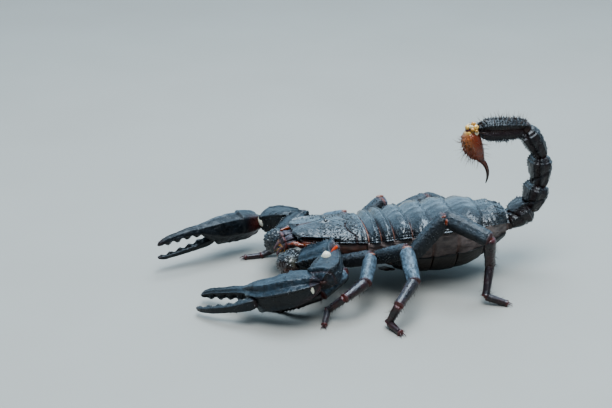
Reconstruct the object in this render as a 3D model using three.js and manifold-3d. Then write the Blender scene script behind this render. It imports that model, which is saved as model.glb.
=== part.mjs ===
// A black forest scorpion at life size, standing with its claws held forward and
// its tail curled over its back. Millimetres, +Z up. The head looks along -Y and
// the animal's left side is +X. Each hard plate and each part of a limb is one
// closed solid, and neighbours keep a thin gap where the soft joint skin lies.
import * as THREE from 'three';
import * as BufferGeometryUtils from 'three/addons/utils/BufferGeometryUtils.js';
import Module from 'manifold-3d';

const wasm = await Module();
wasm.setup();
const { degToRad, radToDeg, lerp } = THREE.MathUtils;

// ---- driving dimensions -------------------------------------------------------
const GAP = 0.3;

const CARAPACE_LENGTH = 16.2;
const CARAPACE_NOTCH_DEPTH = 1.9;
const CARAPACE_NOTCH_WIDTH = 1.1;
const CARAPACE_CORNER = 1.1;
const CARAPACE_LIP = 0.3;
const CARAPACE_THICKNESS = 0.8;
const TERGITE_LENGTHS = [2.7, 2.9, 4.1, 5.0, 5.8, 6.5, 6.7];
const PLATE_THICKNESS = 0.75;
const PLATE_STEP = 0.35;
const TERGITE_EDGE_ANGLE = 10;
const STERNITE_EDGE_ANGLE = 205;
const TRUNK_START = CARAPACE_LENGTH + GAP;
const TRUNK_END = TRUNK_START + TERGITE_LENGTHS.reduce((sum, length) => sum + length, 0);
const EYE_RADIUS = 0.5;
const EYE_SPACING = 0.8;
const EYE_SETBACK = 8.0;
const EYE_MOUND = 0.6;
const MOUND_WIDTH = 1.5;
const MOUND_LENGTH = 2.2;

// Each row of the trunk: distance behind the front edge, half width, then the
// heights of the widest line, of the back and of the belly above the floor.
const TRUNK_ROWS = [
  { y: 0.0, halfWidth: 4.5, side: 12.2, top: 14.0, belly: 9.0 },
  { y: 4.0, halfWidth: 6.4, side: 11.8, top: 14.5, belly: 8.0 },
  { y: 9.0, halfWidth: 7.4, side: 11.3, top: 14.7, belly: 7.2 },
  { y: 16.5, halfWidth: 8.0, side: 10.8, top: 14.7, belly: 5.6 },
  { y: 23.0, halfWidth: 8.6, side: 11.3, top: 15.4, belly: 3.2 },
  { y: 31.0, halfWidth: 9.1, side: 12.0, top: 16.3, belly: 1.9 },
  { y: 38.0, halfWidth: 8.9, side: 12.5, top: 16.7, belly: 2.3 },
  { y: 44.0, halfWidth: 7.5, side: 12.8, top: 16.3, belly: 4.6 },
  { y: 50.5, halfWidth: 4.0, side: 12.2, top: 14.8, belly: 9.0 },
];
const TRUNK_SQUARENESS = 2.5;

// The tail's five rings: length, full width, full depth, and the pitch of each
// one's length above the horizontal, turning up and then forward over the back.
const TAIL_ROOT = { y: TRUNK_END + 1.0, z: 11.7 };
const TAIL_SEGMENTS = [
  { length: 6.5, width: 6.7, depth: 5.9, pitch: 30 },
  { length: 5.9, width: 6.2, depth: 5.6, pitch: 73 },
  { length: 7.0, width: 5.7, depth: 5.2, pitch: 92 },
  { length: 7.5, width: 5.3, depth: 4.7, pitch: 122 },
  { length: 11.8, width: 4.9, depth: 4.8, pitch: 179 },
];
const VESICLE = { length: 8.6, width: 4.9, depth: 5.0, pitch: 288, drop: 1.8, lead: 0.3 };
const STING = { length: 5.6, radius: 0.62, tip: 0.25, turn: 72, pitch: 318, rings: 5 };

// Limb parts: length, full width and full depth.
const PEDIPALP = {
  trochanter: { length: 5.0, width: 4.6, depth: 4.6 },
  femur: { length: 11.4, width: 5.2, depth: 5.0 },
  patella: { length: 12.2, width: 5.6, depth: 5.0 },
};
const LEG_SIZES = [
  { trochanter: 2.4, femur: 7.4, patella: 7.6, tibia: 6.0, basitarsus: 4.2, tarsus: 4.0, girth: 2.7 },
  { trochanter: 2.6, femur: 8.2, patella: 8.4, tibia: 6.9, basitarsus: 5.0, tarsus: 4.2, girth: 2.9 },
  { trochanter: 3.2, femur: 9.0, patella: 9.0, tibia: 7.5, basitarsus: 5.1, tarsus: 4.6, girth: 3.2 },
  { trochanter: 4.2, femur: 11.9, patella: 10.9, tibia: 7.6, basitarsus: 7.2, tarsus: 5.0, girth: 3.5 },
];
const LEG_TAPER = {
  trochanter: 0.95, femur: 1.0, patella: 1.0, tibia: 0.74, basitarsus: 0.56, tarsus: 0.46,
};
const LEG_WIDTH_TO_DEPTH = 1.0;
const SOLE_RADIUS = 0.6;
const TARSAL_CLAW = { back: 0.5, reach: 1.1, thick: 0.34, thin: 0.27, spread: 0.45 };

// The pose. Every limb part points along a yaw and a pitch, in degrees: yaw 0 is
// straight out to its own side, +90 to the tail and -90 ahead of the animal.
// A leg's last part takes the pitch that lays its sole on the floor.
const LEG_POSES = {
  left: [
    {
      root: [5.6, 4.3, 7.5], trochanter: [10, -14], femur: [40, 4], patella: [-56, -20],
      tibia: [-100, -24], basitarsus: [-125, -25], tarsus: -120,
    },
    {
      root: [5.4, 7.2, 7.4], trochanter: [45, 5], femur: [60, 16], patella: [-22, -18.6],
      tibia: [-56, -13], basitarsus: [-118, -42], tarsus: -22,
    },
    {
      root: [7.0, 15.0, 7.8], trochanter: [45, 18], femur: [44, 24], patella: [-4, -25],
      tibia: [-43, -22.5], basitarsus: [-139, -64], tarsus: 18,
    },
    {
      root: [8.8, 21.8, 8.4], trochanter: [46, 12], femur: [90, 49], patella: [49, -16],
      tibia: [150, -68], basitarsus: [-29, -61], tarsus: 68,
    },
  ],
  right: [
    {
      root: [5.6, 4.3, 7.5], trochanter: [30, -14], femur: [50, 4], patella: [-50, -22],
      tibia: [-95, -25], basitarsus: [-92, -21], tarsus: -96,
    },
    {
      root: [5.4, 7.2, 7.4], trochanter: [45, 5], femur: [58, 24], patella: [-20, -22],
      tibia: [-50, -28], basitarsus: [-110, -52], tarsus: -30,
    },
    {
      root: [7.0, 15.0, 7.8], trochanter: [45, 18], femur: [72, 35], patella: [4, -34],
      tibia: [-30, -35], basitarsus: [-80, -50], tarsus: 15,
    },
    {
      root: [8.8, 21.8, 8.4], trochanter: [45, 10], femur: [78, 18], patella: [42, -24],
      tibia: [70, -42], basitarsus: [10, -18], tarsus: 68,
    },
  ],
};
const PEDIPALP_POSES = {
  left: {
    root: [4.4, 1.6, 8.6], trochanter: [-52, -10], femur: [61, 24],
    patella: [-28, -14], chela: [-119, -15.8], roll: 8, open: 4.5, bow: 2.2,
  },
  right: {
    root: [4.4, 1.0, 8.6], trochanter: [-48, -10], femur: [46, 15],
    patella: [-46, -19], chela: [-112.6, -2.6], roll: 65, open: 2.2, bow: -0.8,
  },
};

// ---- materials ----------------------------------------------------------------
const finish = (color, roughness) => ({ color, roughness, metalness: 0 });
const BLACK_CUTICLE = finish(0x14171b, 0.3);
const BROWN_CUTICLE = finish(0x2b130c, 0.4);
const SOFT_SKIN = finish(0x4a3a32, 0.6);
const AMBER_CUTICLE = finish(0x8a3a10, 0.35);
const DARK_STING = finish(0x1e0b06, 0.3);
const EYE_BLACK = finish(0x050505, 0.1);

// ---- solids -------------------------------------------------------------------
function geometryOf(points, triangles) {
  const geometry = new THREE.BufferGeometry();
  const numbers = points.flatMap((point) => point.toArray());
  geometry.setAttribute('position', new THREE.Float32BufferAttribute(numbers, 3));
  geometry.setIndex(triangles.flat());
  return geometry;
}

function toManifold(geometry) {
  const bare = geometry.clone();
  bare.deleteAttribute('normal');
  bare.deleteAttribute('uv');
  const merged = BufferGeometryUtils.mergeVertices(bare, 1e-5);
  const vertProperties = new Float32Array(merged.attributes.position.array);
  const triVerts = new Uint32Array(merged.index.array);
  return new wasm.Manifold(new wasm.Mesh({ numProp: 3, vertProperties, triVerts }));
}

function toGeometry(manifold) {
  const mesh = manifold.getMesh();
  const geometry = new THREE.BufferGeometry();
  geometry.setAttribute('position', new THREE.BufferAttribute(mesh.vertProperties, 3));
  geometry.setIndex(new THREE.BufferAttribute(mesh.triVerts, 1));
  return geometry;
}

// The largest body that a cut leaves, so that no sliver stays behind.
function largestBody(manifold) {
  const bodies = manifold.decompose();
  bodies.sort((a, b) => b.volume() - a.volume());
  return bodies[0];
}

const join = (solids) => solids.reduce((sum, solid) => sum.add(solid));
const cut = (solid, ...cutters) => largestBody(solid.subtract(join(cutters)));

// A closed solid through a row of rings with equal numbers of points, each end
// closed by a fan round the ring's middle.
function loft(rings) {
  const sides = rings[0].length;
  const points = rings.flat();
  const triangles = [];
  for (let row = 0; row + 1 < rings.length; row += 1) {
    for (let k = 0; k < sides; k += 1) {
      const a = row * sides + k;
      const b = row * sides + ((k + 1) % sides);
      triangles.push([a, b, a + sides], [b, b + sides, a + sides]);
    }
  }
  for (const [row, first] of [[0, true], [rings.length - 1, false]]) {
    const middle = new THREE.Vector3();
    rings[row].forEach((point) => middle.addScaledVector(point, 1 / sides));
    const hub = points.push(middle) - 1;
    for (let k = 0; k < sides; k += 1) {
      const a = row * sides + k;
      const b = row * sides + ((k + 1) % sides);
      triangles.push(first ? [b, a, hub] : [a, b, hub]);
    }
  }
  return toManifold(geometryOf(points, triangles));
}

// A closed curved plate between an outer and an inner grid of points.
function plate(outer, inner) {
  const rows = outer.length;
  const columns = outer[0].length;
  const points = [...outer.flat(), ...inner.flat()];
  const at = (row, column, side) => (side * rows + row) * columns + column;
  const triangles = [];
  const quad = (a, b, c, d) => triangles.push([a, c, b], [a, d, c]);
  for (let row = 0; row + 1 < rows; row += 1) {
    for (let column = 0; column + 1 < columns; column += 1) {
      quad(at(row, column, 0), at(row, column + 1, 0), at(row + 1, column + 1, 0), at(row + 1, column, 0));
      quad(at(row, column, 1), at(row + 1, column, 1), at(row + 1, column + 1, 1), at(row, column + 1, 1));
    }
    quad(at(row, 0, 0), at(row + 1, 0, 0), at(row + 1, 0, 1), at(row, 0, 1));
    const last = columns - 1;
    quad(at(row, last, 0), at(row, last, 1), at(row + 1, last, 1), at(row + 1, last, 0));
  }
  for (let column = 0; column + 1 < columns; column += 1) {
    const last = rows - 1;
    quad(at(0, column, 0), at(0, column, 1), at(0, column + 1, 1), at(0, column + 1, 0));
    quad(at(last, column, 0), at(last, column + 1, 0), at(last, column + 1, 1), at(last, column, 1));
  }
  return toManifold(geometryOf(points, triangles));
}

// ---- the trunk's surface --------------------------------------------------------
function trunkRow(y) {
  const last = TRUNK_ROWS.length - 1;
  let k = TRUNK_ROWS.findIndex((row) => row.y > y) - 1;
  k = k < 0 ? (y <= 0 ? 0 : last - 1) : k;
  const rowAt = (n) => TRUNK_ROWS[Math.min(Math.max(n, 0), last)];
  const [before, from, to, after] = [k - 1, k, k + 1, k + 2].map(rowAt);
  const span = to.y - from.y;
  const t = (y - from.y) / span;
  const smooth = (name) => {
    const rise = to[name] - from[name];
    const inward = ((to[name] - before[name]) / (to.y - before.y)) * span;
    const outward = ((after[name] - from[name]) / (after.y - from.y)) * span;
    const slopeIn = k === 0 ? rise : inward;
    const slopeOut = k + 1 === last ? rise : outward;
    const [t2, t3] = [t * t, t * t * t];
    const blend = (2 * t3 - 3 * t2 + 1) * from[name] + (3 * t2 - 2 * t3) * to[name];
    return blend + (t3 - 2 * t2 + t) * slopeIn + (t3 - t2) * slopeOut;
  };
  return {
    halfWidth: smooth('halfWidth'), side: smooth('side'), top: smooth('top'), belly: smooth('belly'),
  };
}

// A point of the trunk's outline at a distance behind the front edge. The angle
// runs from 0 on the left side over the back to 180 and under the belly.
function trunkPoint(y, angle, inset = 0) {
  const { halfWidth, side, top, belly } = trunkRow(y);
  const [c, s] = [Math.cos(degToRad(angle)), Math.sin(degToRad(angle))];
  const rounded = (value) => Math.sign(value) * Math.abs(value) ** (2 / TRUNK_SQUARENESS);
  const reach = s > 0 ? top - side : side - belly;
  return new THREE.Vector3((halfWidth - inset) * rounded(c), y, side + (reach - inset) * rounded(s));
}

const steps = (count, from, to) => Array.from({ length: count + 1 }, (_, k) => lerp(from, to, k / count));

// ---- carapace, its eyes and the underside ---------------------------------------
const CHEST_END = 21.5;
const CARAPACE_ANGLES = steps(12, 12, 168);
const CARAPACE_STATIONS = [0, 0.05, 0.18, 0.36, 0.54, 0.76, 1];

// The head shield: notched in front, rounded at its front corners, with a low
// mound in the middle that carries the two larger eyes.
function carapace() {
  const notch = (x) => CARAPACE_NOTCH_DEPTH * Math.exp(-((x / CARAPACE_NOTCH_WIDTH) ** 2));
  const corner = (x) => CARAPACE_CORNER * (Math.abs(x) / TRUNK_ROWS[0].halfWidth) ** 4;
  const surface = (inset) => CARAPACE_STATIONS.map((t) => CARAPACE_ANGLES.map((angle) => {
    const x = trunkPoint(0, angle).x;
    const start = notch(x) + corner(x);
    const point = trunkPoint(lerp(start, CARAPACE_LENGTH, t), angle, inset);
    const [across, behind] = [point.x / MOUND_WIDTH, (point.y - EYE_SETBACK) / MOUND_LENGTH];
    point.z += EYE_MOUND * Math.exp(-(across ** 2) - behind ** 2);
    point.z -= t === 0 ? CARAPACE_LIP * (1 - inset) : 0;
    return point;
  }));
  return plate(surface(0), surface(CARAPACE_THICKNESS));
}

function medianEye(side, shell) {
  const ball = new THREE.IcosahedronGeometry(EYE_RADIUS, 0);
  const { top } = trunkRow(EYE_SETBACK);
  ball.translate(side * EYE_SPACING, EYE_SETBACK, top + EYE_MOUND);
  return cut(toManifold(ball), shell);
}

// ---- limbs ----------------------------------------------------------------------
// The frame of a limb part: along its length, across it, and out of its back.
function frameOf(yaw, pitch, side = 1) {
  const [a, e] = [degToRad(yaw), degToRad(pitch)];
  const along = new THREE.Vector3(side * Math.cos(a) * Math.cos(e), Math.sin(a) * Math.cos(e), Math.sin(e));
  const across = new THREE.Vector3(-side * Math.sin(a), Math.cos(a), 0);
  const back = new THREE.Vector3().crossVectors(along, across).multiplyScalar(side);
  return { along, across, back };
}

// One ring round a limb: the half width runs across it and the half depth out of
// its back. The points turn the same way round the limb on both sides.
function ring(frame, centre, halfWidth, halfDepth, sides, squareness = 2) {
  const turn = new THREE.Vector3().crossVectors(frame.across, frame.back).dot(frame.along) > 0 ? 1 : -1;
  return Array.from({ length: sides }, (_, k) => {
    const angle = turn * ((k + 0.5) / sides) * 2 * Math.PI;
    const rounded = (value) => Math.sign(value) * Math.abs(value) ** (2 / squareness);
    return centre.clone()
      .addScaledVector(frame.across, halfWidth * rounded(Math.cos(angle)))
      .addScaledVector(frame.back, halfDepth * rounded(Math.sin(angle)));
  });
}

// How full a part is along its length: place, then share of the full girth.
const SHAPES = {
  joint: [[0, 0.55], [0.25, 0.95], [0.75, 1], [1, 0.6]],
  thigh: [[0, 0.55], [0.14, 0.85], [0.55, 1], [0.86, 0.95], [1, 0.6]],
  shin: [[0, 0.6], [0.15, 1], [0.88, 0.86], [1, 0.55]],
  foot: [[0, 0.7], [0.2, 1], [1, 0.7]],
  legThigh: [[0, 0.55], [0.16, 0.92], [0.84, 1], [1, 0.6]],
  stub: [[0, 0.7], [0.75, 1], [1, 0.7]],
  ring: [[0, 0.7], [0.18, 0.94], [0.55, 1], [0.85, 0.97], [1, 0.74]],
  longRing: [[0, 0.72], [0.12, 0.92], [0.4, 1], [0.7, 0.94], [0.96, 0.76], [1, 0.62]],
};

function limb(start, frame, { length, width, depth }, shape, { sides = 8, grow = 0, squareness = 2 } = {}) {
  const rings = SHAPES[shape].map(([place, fullness], k) => {
    const end = k === 0 ? -grow : k + 1 === SHAPES[shape].length ? grow : 0;
    const centre = start.clone().addScaledVector(frame.along, place * length + end);
    const [halfWidth, halfDepth] = [width, depth].map((full) => (fullness * full) / 2 + grow);
    return ring(frame, centre, halfWidth, halfDepth, sides, squareness);
  });
  return loft(rings);
}

const step = (start, frame, length) => start.clone().addScaledVector(frame.along, length);

// ---- legs -----------------------------------------------------------------------
const FLOOR_SPAN = 200;
const LEG_PARTS = ['trochanter', 'femur', 'patella', 'tibia', 'basitarsus', 'tarsus'];

// Start, frame and size of every part of one leg, root to toe.
function legParts(side, number) {
  const sign = side === 'left' ? 1 : -1;
  const pose = LEG_POSES[side][number - 1];
  const size = LEG_SIZES[number - 1];
  let start = new THREE.Vector3(sign * pose.root[0], pose.root[1], pose.root[2]);
  const parts = {};
  for (const name of LEG_PARTS) {
    const girth = size.girth * LEG_TAPER[name];
    const fall = radToDeg(Math.asin((start.z - SOLE_RADIUS) / size.tarsus));
    const [yaw, pitch] = name === 'tarsus' ? [pose.tarsus, -fall] : pose[name];
    const frame = frameOf(yaw, pitch, sign);
    const width = girth * LEG_WIDTH_TO_DEPTH;
    parts[name] = { start, frame, size: { length: size[name], width, depth: girth } };
    start = step(start, frame, size[name]);
  }
  parts.toe = start;
  return parts;
}

// The plate that carries a leg, from beside the middle line out to the leg's root.
function coxa(side, number, grow) {
  const sign = side === 'left' ? 1 : -1;
  const { start, size } = legParts(side, number).trochanter;
  const inner = new THREE.Vector3(sign * 1.2, 6.5 + 3.0 * number, start.z - 0.4);
  const direction = start.clone().sub(inner);
  const length = direction.length() + 0.4;
  const yaw = radToDeg(Math.atan2(direction.y, sign * direction.x));
  const pitch = radToDeg(Math.asin(direction.z / direction.length()));
  const girth = size.depth + 0.5;
  const coxaSize = { length, width: girth, depth: girth * 0.9 };
  return limb(inner, frameOf(yaw, pitch, sign), coxaSize, 'stub', { sides: 6, grow });
}

// A leg's foot: shin, two foot parts and a pair of claws whose soles lie on the floor.
function foot(parts) {
  const { tibia, basitarsus, tarsus, toe } = parts;
  const pieces = [
    limb(tibia.start, tibia.frame, tibia.size, 'shin', { sides: 6 }),
    limb(basitarsus.start, basitarsus.frame, basitarsus.size, 'foot', { sides: 5 }),
    limb(tarsus.start, tarsus.frame, tarsus.size, 'foot', { sides: 5 }),
  ];
  const level = { ...tarsus.frame };
  level.along = tarsus.frame.along.clone().setZ(0).normalize();
  level.back = new THREE.Vector3(0, 0, 1);
  for (const spread of [-TARSAL_CLAW.spread, TARSAL_CLAW.spread]) {
    const ends = [[-TARSAL_CLAW.back, TARSAL_CLAW.thick], [TARSAL_CLAW.reach, TARSAL_CLAW.thin]];
    const claw = ends.map(([along, radius]) => {
      const centre = toe.clone().addScaledVector(level.along, along);
      centre.addScaledVector(level.across, spread * (1 + along / 2));
      centre.z = radius * Math.SQRT1_2;
      return ring(level, centre, radius, radius, 4);
    });
    pieces.push(loft(claw));
  }
  const floor = new THREE.BoxGeometry(FLOOR_SPAN, FLOOR_SPAN, FLOOR_SPAN);
  floor.translate(0, 0, -FLOOR_SPAN / 2);
  return cut(join(pieces), toManifold(floor));
}

// The three solids of one leg, each cut back from the one before it.
function leg(side, number, chest) {
  const parts = legParts(side, number);
  const part = (name, shape, grow = 0) => (
    limb(parts[name].start, parts[name].frame, parts[name].size, shape, { sides: 6, grow })
  );
  return {
    femur: cut(join([part('trochanter', 'stub'), part('femur', 'legThigh')]), chest),
    patella: cut(part('patella', 'legThigh'), part('femur', 'legThigh', GAP)),
    foot: cut(foot(parts), part('patella', 'legThigh', GAP)),
  };
}

// ---- claws ----------------------------------------------------------------------
// Rows of the hand and the fixed finger, and of the movable finger: distance from
// the wrist, shift to the outer side, half width and half depth.
const HAND_ROWS = [
  [0.0, 0.0, 1.7, 1.7], [1.4, 0.2, 2.9, 2.3], [4.5, 0.2, 3.9, 3.1], [8.5, 0.0, 4.2, 3.3],
  [12.5, -0.5, 3.7, 3.0], [15.2, -1.4, 2.5, 2.4], [17.5, -2.35, 1.35, 1.6], [21.5, -2.95, 1.05, 1.25],
  [25.5, -3.0, 0.9, 1.0], [27.9, -2.6, 0.65, 0.7], [29.0, -2.2, 0.3, 0.3],
];
const FINGER_ROWS = [
  [13.2, 2.0, 1.0, 1.2], [14.8, 2.4, 1.3, 1.5], [18.0, 2.9, 1.1, 1.3], [21.5, 3.15, 1.0, 1.15],
  [24.8, 2.95, 0.85, 0.9], [27.0, 2.6, 0.6, 0.65], [28.0, 2.2, 0.3, 0.3],
];
const CHELA_LENGTH = HAND_ROWS.at(-1)[0];
const CHELA_SQUARENESS = 2.3;

// A claw's frame: its thin side faces up and its movable finger lies outward, then
// the whole hand rolls about its length.
function chelaFrame(side, pose) {
  const sign = side === 'left' ? 1 : -1;
  const { along, across } = frameOf(pose.chela[0], pose.chela[1], sign);
  const outward = across.clone();
  if (outward.x * sign < 0) outward.negate();
  const up = new THREE.Vector3().crossVectors(along, outward);
  if (up.z < 0) up.negate();
  const lean = degToRad(pose.roll);
  const back = up.clone().multiplyScalar(Math.cos(lean)).addScaledVector(outward, Math.sin(lean));
  const sideways = outward.clone().multiplyScalar(Math.cos(lean)).addScaledVector(up, -Math.sin(lean));
  return { along, across: sideways, back };
}

// A claw part through its rows. Opening the claw swings the rows out from the hinge.
function clawRows(rows, start, frame, sides, { bow, grow = 0, open = 0 }) {
  return loft(rows.map(([along, out, halfWidth, halfDepth], k) => {
    const end = k === 0 ? -grow : k + 1 === rows.length ? grow : 0;
    const bend = bow * Math.sin((Math.PI * along) / CHELA_LENGTH);
    const swing = (along - rows[0][0]) * Math.tan(degToRad(open));
    const centre = step(start, frame, along + end).addScaledVector(frame.across, out + bend + swing);
    return ring(frame, centre, halfWidth + grow, halfDepth + grow, sides, CHELA_SQUARENESS);
  }));
}

// The five solids of one pedipalp, each cut back from the one before it.
function pedipalp(side) {
  const sign = side === 'left' ? 1 : -1;
  const pose = PEDIPALP_POSES[side];
  const root = new THREE.Vector3(sign * pose.root[0], pose.root[1], pose.root[2]);
  const frames = {};
  for (const name of ['trochanter', 'femur', 'patella']) frames[name] = frameOf(...pose[name], sign);
  const elbow = step(root, frames.trochanter, PEDIPALP.trochanter.length - 1.2);
  const knee = step(elbow, frames.femur, PEDIPALP.femur.length);
  const wrist = step(knee, frames.patella, PEDIPALP.patella.length);
  const chela = chelaFrame(side, pose);
  const finger = clawRows(FINGER_ROWS, wrist, chela, 8, { bow: pose.bow, open: pose.open });
  const options = { sides: 10, squareness: 2.6 };
  const grown = { ...options, grow: GAP };
  const starts = { trochanter: root, femur: elbow, patella: knee };
  const shapes = { trochanter: 'joint', femur: 'thigh', patella: 'thigh' };
  const part = (name, opts) => limb(starts[name], frames[name], PEDIPALP[name], shapes[name], opts);
  return {
    trochanter: part('trochanter', options),
    femur: cut(part('femur', options), part('trochanter', grown)),
    patella: cut(part('patella', options), part('femur', grown)),
    hand: cut(clawRows(HAND_ROWS, wrist, chela, 10, { bow: pose.bow }), part('patella', grown)),
    movable_finger: cut(finger, clawRows(HAND_ROWS, wrist, chela, 10, { bow: pose.bow, grow: GAP })),
  };
}

// ---- trunk plates -----------------------------------------------------------------
const TERGITE_ANGLES = steps(10, TERGITE_EDGE_ANGLE, 180 - TERGITE_EDGE_ANGLE);
const STERNITE_ANGLES = steps(8, STERNITE_EDGE_ANGLE, 540 - STERNITE_EDGE_ANGLE);
const FLANK_ANGLES = [-24, -12, 0];
const FLANK_INSET = 0.25;
const CORE_INSET = PLATE_THICKNESS + GAP;

// Tergites lap like roof tiles: each one's rear edge stands a little proud.
function tergite(start, length) {
  const rows = [0, 0.7, 1].map((t) => start + GAP / 2 + t * (length - GAP));
  const lift = [0, 1, 0.8].map((share) => -share * PLATE_STEP);
  const outer = rows.map((y, k) => TERGITE_ANGLES.map((angle) => trunkPoint(y, angle, lift[k])));
  const inner = rows.map((y) => TERGITE_ANGLES.map((angle) => trunkPoint(y, angle, PLATE_THICKNESS)));
  return plate(outer, inner);
}

// The belly's hard plates as one shell, from behind the combs to the tail.
function sternites() {
  const start = TRUNK_START + TERGITE_LENGTHS[0] + TERGITE_LENGTHS[1];
  const rows = steps(7, start + 1.2, TRUNK_END - GAP);
  const outer = rows.map((y) => STERNITE_ANGLES.map((angle) => trunkPoint(y, angle)));
  const inner = rows.map((y) => STERNITE_ANGLES.map((angle) => trunkPoint(y, angle, PLATE_THICKNESS)));
  return plate(outer, inner);
}

// The soft body inside the plates. It comes out to the surface along both flanks.
function abdomen(grow = 0) {
  const belly = STERNITE_ANGLES.map((angle) => angle - 360);
  const right = FLANK_ANGLES.map((angle) => 180 - angle).reverse();
  const angles = [...belly, ...FLANK_ANGLES, ...TERGITE_ANGLES, ...right].reverse();
  const isFlank = (angle) => (angle >= FLANK_ANGLES[0] && angle <= 0) || angle >= 180;
  const rows = steps(9, TRUNK_START + 0.2 - grow, TRUNK_END - 0.2 + grow);
  return loft(rows.map((y, k) => {
    const taper = k === 0 || k === rows.length - 1 ? PLATE_THICKNESS : 0;
    const inset = (angle) => (isFlank(angle) ? FLANK_INSET : CORE_INSET) + taper - grow;
    return angles.map((angle) => trunkPoint(y, angle, inset(angle)));
  }));
}

// ---- tail ---------------------------------------------------------------------------
function tailFrame(pitch) {
  const e = degToRad(pitch);
  return {
    along: new THREE.Vector3(0, Math.cos(e), Math.sin(e)),
    across: new THREE.Vector3(-1, 0, 0),
    back: new THREE.Vector3(0, -Math.sin(e), Math.cos(e)),
  };
}

function tail() {
  const parts = {};
  let start = new THREE.Vector3(0, TAIL_ROOT.y, TAIL_ROOT.z);
  let behind = null;
  TAIL_SEGMENTS.forEach((size, k) => {
    const frame = tailFrame(size.pitch);
    const shape = k === TAIL_SEGMENTS.length - 1 ? 'longRing' : 'ring';
    const options = { sides: 10, squareness: 2.8 };
    const solid = limb(start, frame, size, shape, options);
    parts[`tail_segment_${k + 1}`] = behind ? cut(solid, behind) : solid;
    behind = limb(start, frame, size, shape, { ...options, grow: GAP });
    start = step(start, frame, size.length);
  });
  const { vesicle, sting } = telson(start);
  parts.telson_vesicle = cut(vesicle, behind);
  parts.telson_sting = sting;
  return parts;
}

// The bulb hangs from the last ring and swells to its under side; the sting leaves
// its far end in one smooth arc. Rows: place, fullness and rise to the back.
const VESICLE_ROWS = [
  [0, 0.42, 0.1], [0.1, 0.68, 0.05], [0.28, 0.95, 0], [0.5, 1, 0],
  [0.7, 0.88, 0.1], [0.87, 0.56, 0.3], [1, 0.27, 0.45],
];

function telson(joint) {
  const frame = tailFrame(VESICLE.pitch);
  const start = joint.clone().add(new THREE.Vector3(0, -VESICLE.drop, VESICLE.lead));
  const vesicle = loft(VESICLE_ROWS.map(([place, fullness, rise]) => {
    const centre = step(start, frame, place * VESICLE.length);
    centre.addScaledVector(frame.back, rise * VESICLE.depth * 0.5);
    return ring(frame, centre, (fullness * VESICLE.width) / 2, (fullness * VESICLE.depth) / 2, 10);
  }));
  const rise = VESICLE_ROWS.at(-1)[2] * VESICLE.depth * 0.5;
  let centre = step(start, frame, VESICLE.length + GAP).addScaledVector(frame.back, rise);
  const rings = steps(STING.rings, 0, 1).map((share) => {
    const bend = tailFrame(STING.pitch - share * STING.turn);
    const radius = lerp(STING.radius, STING.tip, share);
    const outline = ring(bend, centre, radius, radius, 6);
    centre = step(centre, bend, STING.length / STING.rings);
    return outline;
  });
  return { vesicle, sting: loft(rings) };
}

// ---- head -----------------------------------------------------------------------------
const CHELICERA = {
  palm: { length: 4.8, width: 2.5, depth: 2.7 },
  finger: { length: 2.4, width: 1.3, depth: 1.2 },
};

// A chelicera: a stout block with a short downturned finger, close under the notch.
function chelicera(side) {
  const palm = frameOf(-90, -12, side);
  const finger = frameOf(-90, -48, side);
  const root = new THREE.Vector3(side * 1.5, 2.6, 11.6);
  const block = limb(root, palm, CHELICERA.palm, 'thigh', { squareness: 2.5 });
  const tip = step(root, palm, CHELICERA.palm.length - 0.9);
  return join([block, limb(tip, finger, CHELICERA.finger, 'shin', { sides: 6 })]);
}

// The chest: sternum and coxal plates in one solid, below the carapace's edge. It
// narrows to a flat tongue under the front of the belly.
const CHEST_START = 1.2;
const CHEST_OUTLINE = [
  [1, 0.8], [0.86, 0.25], [0.5, 0], [-0.5, 0], [-0.86, 0.25], [-1, 0.8], [-0.94, 1], [0.94, 1],
];

function coxosternum(grow = 0) {
  const rings = steps(5, CHEST_START - grow, CHEST_END + grow).map((y) => {
    const { halfWidth, side, belly } = trunkRow(y);
    const isNeck = y > CARAPACE_LENGTH;
    const halfSpan = halfWidth * (isNeck ? 0.5 : 0.86) + grow;
    const floor = belly + 0.2 - grow;
    const height = (isNeck ? 1.6 : side - belly) + 2 * grow;
    return CHEST_OUTLINE.map(([x, z]) => new THREE.Vector3(x * halfSpan, y, floor + z * height));
  });
  const numbers = [1, 2, 3, 4];
  const coxae = ['left', 'right'].flatMap((side) => numbers.map((number) => coxa(side, number, grow)));
  return join([loft(rings), ...coxae]);
}

// A comb: a strip with a row of short teeth along its rear edge. It lies under the
// front of the belly and rises outward with it.
const PECTEN = {
  length: 6.6, width: 1.3, toothLength: 1.0, thickness: 0.6, teeth: 7, sweep: 6, rise: 17, z: 2.6,
};

function pecten(side) {
  const pitch = PECTEN.length / PECTEN.teeth;
  const outline = new THREE.Shape();
  outline.moveTo(0, 0);
  for (let k = 0; k < PECTEN.teeth; k += 1) {
    outline.lineTo((k + 0.2) * pitch, PECTEN.toothLength);
    outline.lineTo((k + 0.7) * pitch, PECTEN.toothLength);
    outline.lineTo((k + 1) * pitch, 0);
  }
  outline.lineTo(PECTEN.length, -0.7 * PECTEN.width);
  outline.lineTo(0, -PECTEN.width);
  const geometry = new THREE.ExtrudeGeometry(outline, { depth: PECTEN.thickness, bevelEnabled: false });
  if (side < 0) geometry.rotateY(Math.PI);
  geometry.rotateY(-side * degToRad(PECTEN.rise));
  geometry.rotateZ(side * degToRad(PECTEN.sweep));
  geometry.translate(side * 1.2, CHEST_END - 0.3, PECTEN.z + (side < 0 ? PECTEN.thickness : 0));
  return toManifold(geometry);
}

// ---- the whole animal --------------------------------------------------------------------
const scorpion = new THREE.Group();

function addPart(name, solid, look) {
  const mesh = new THREE.Mesh(toGeometry(solid), new THREE.MeshStandardMaterial(look));
  mesh.name = name;
  scorpion.add(mesh);
}

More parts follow.
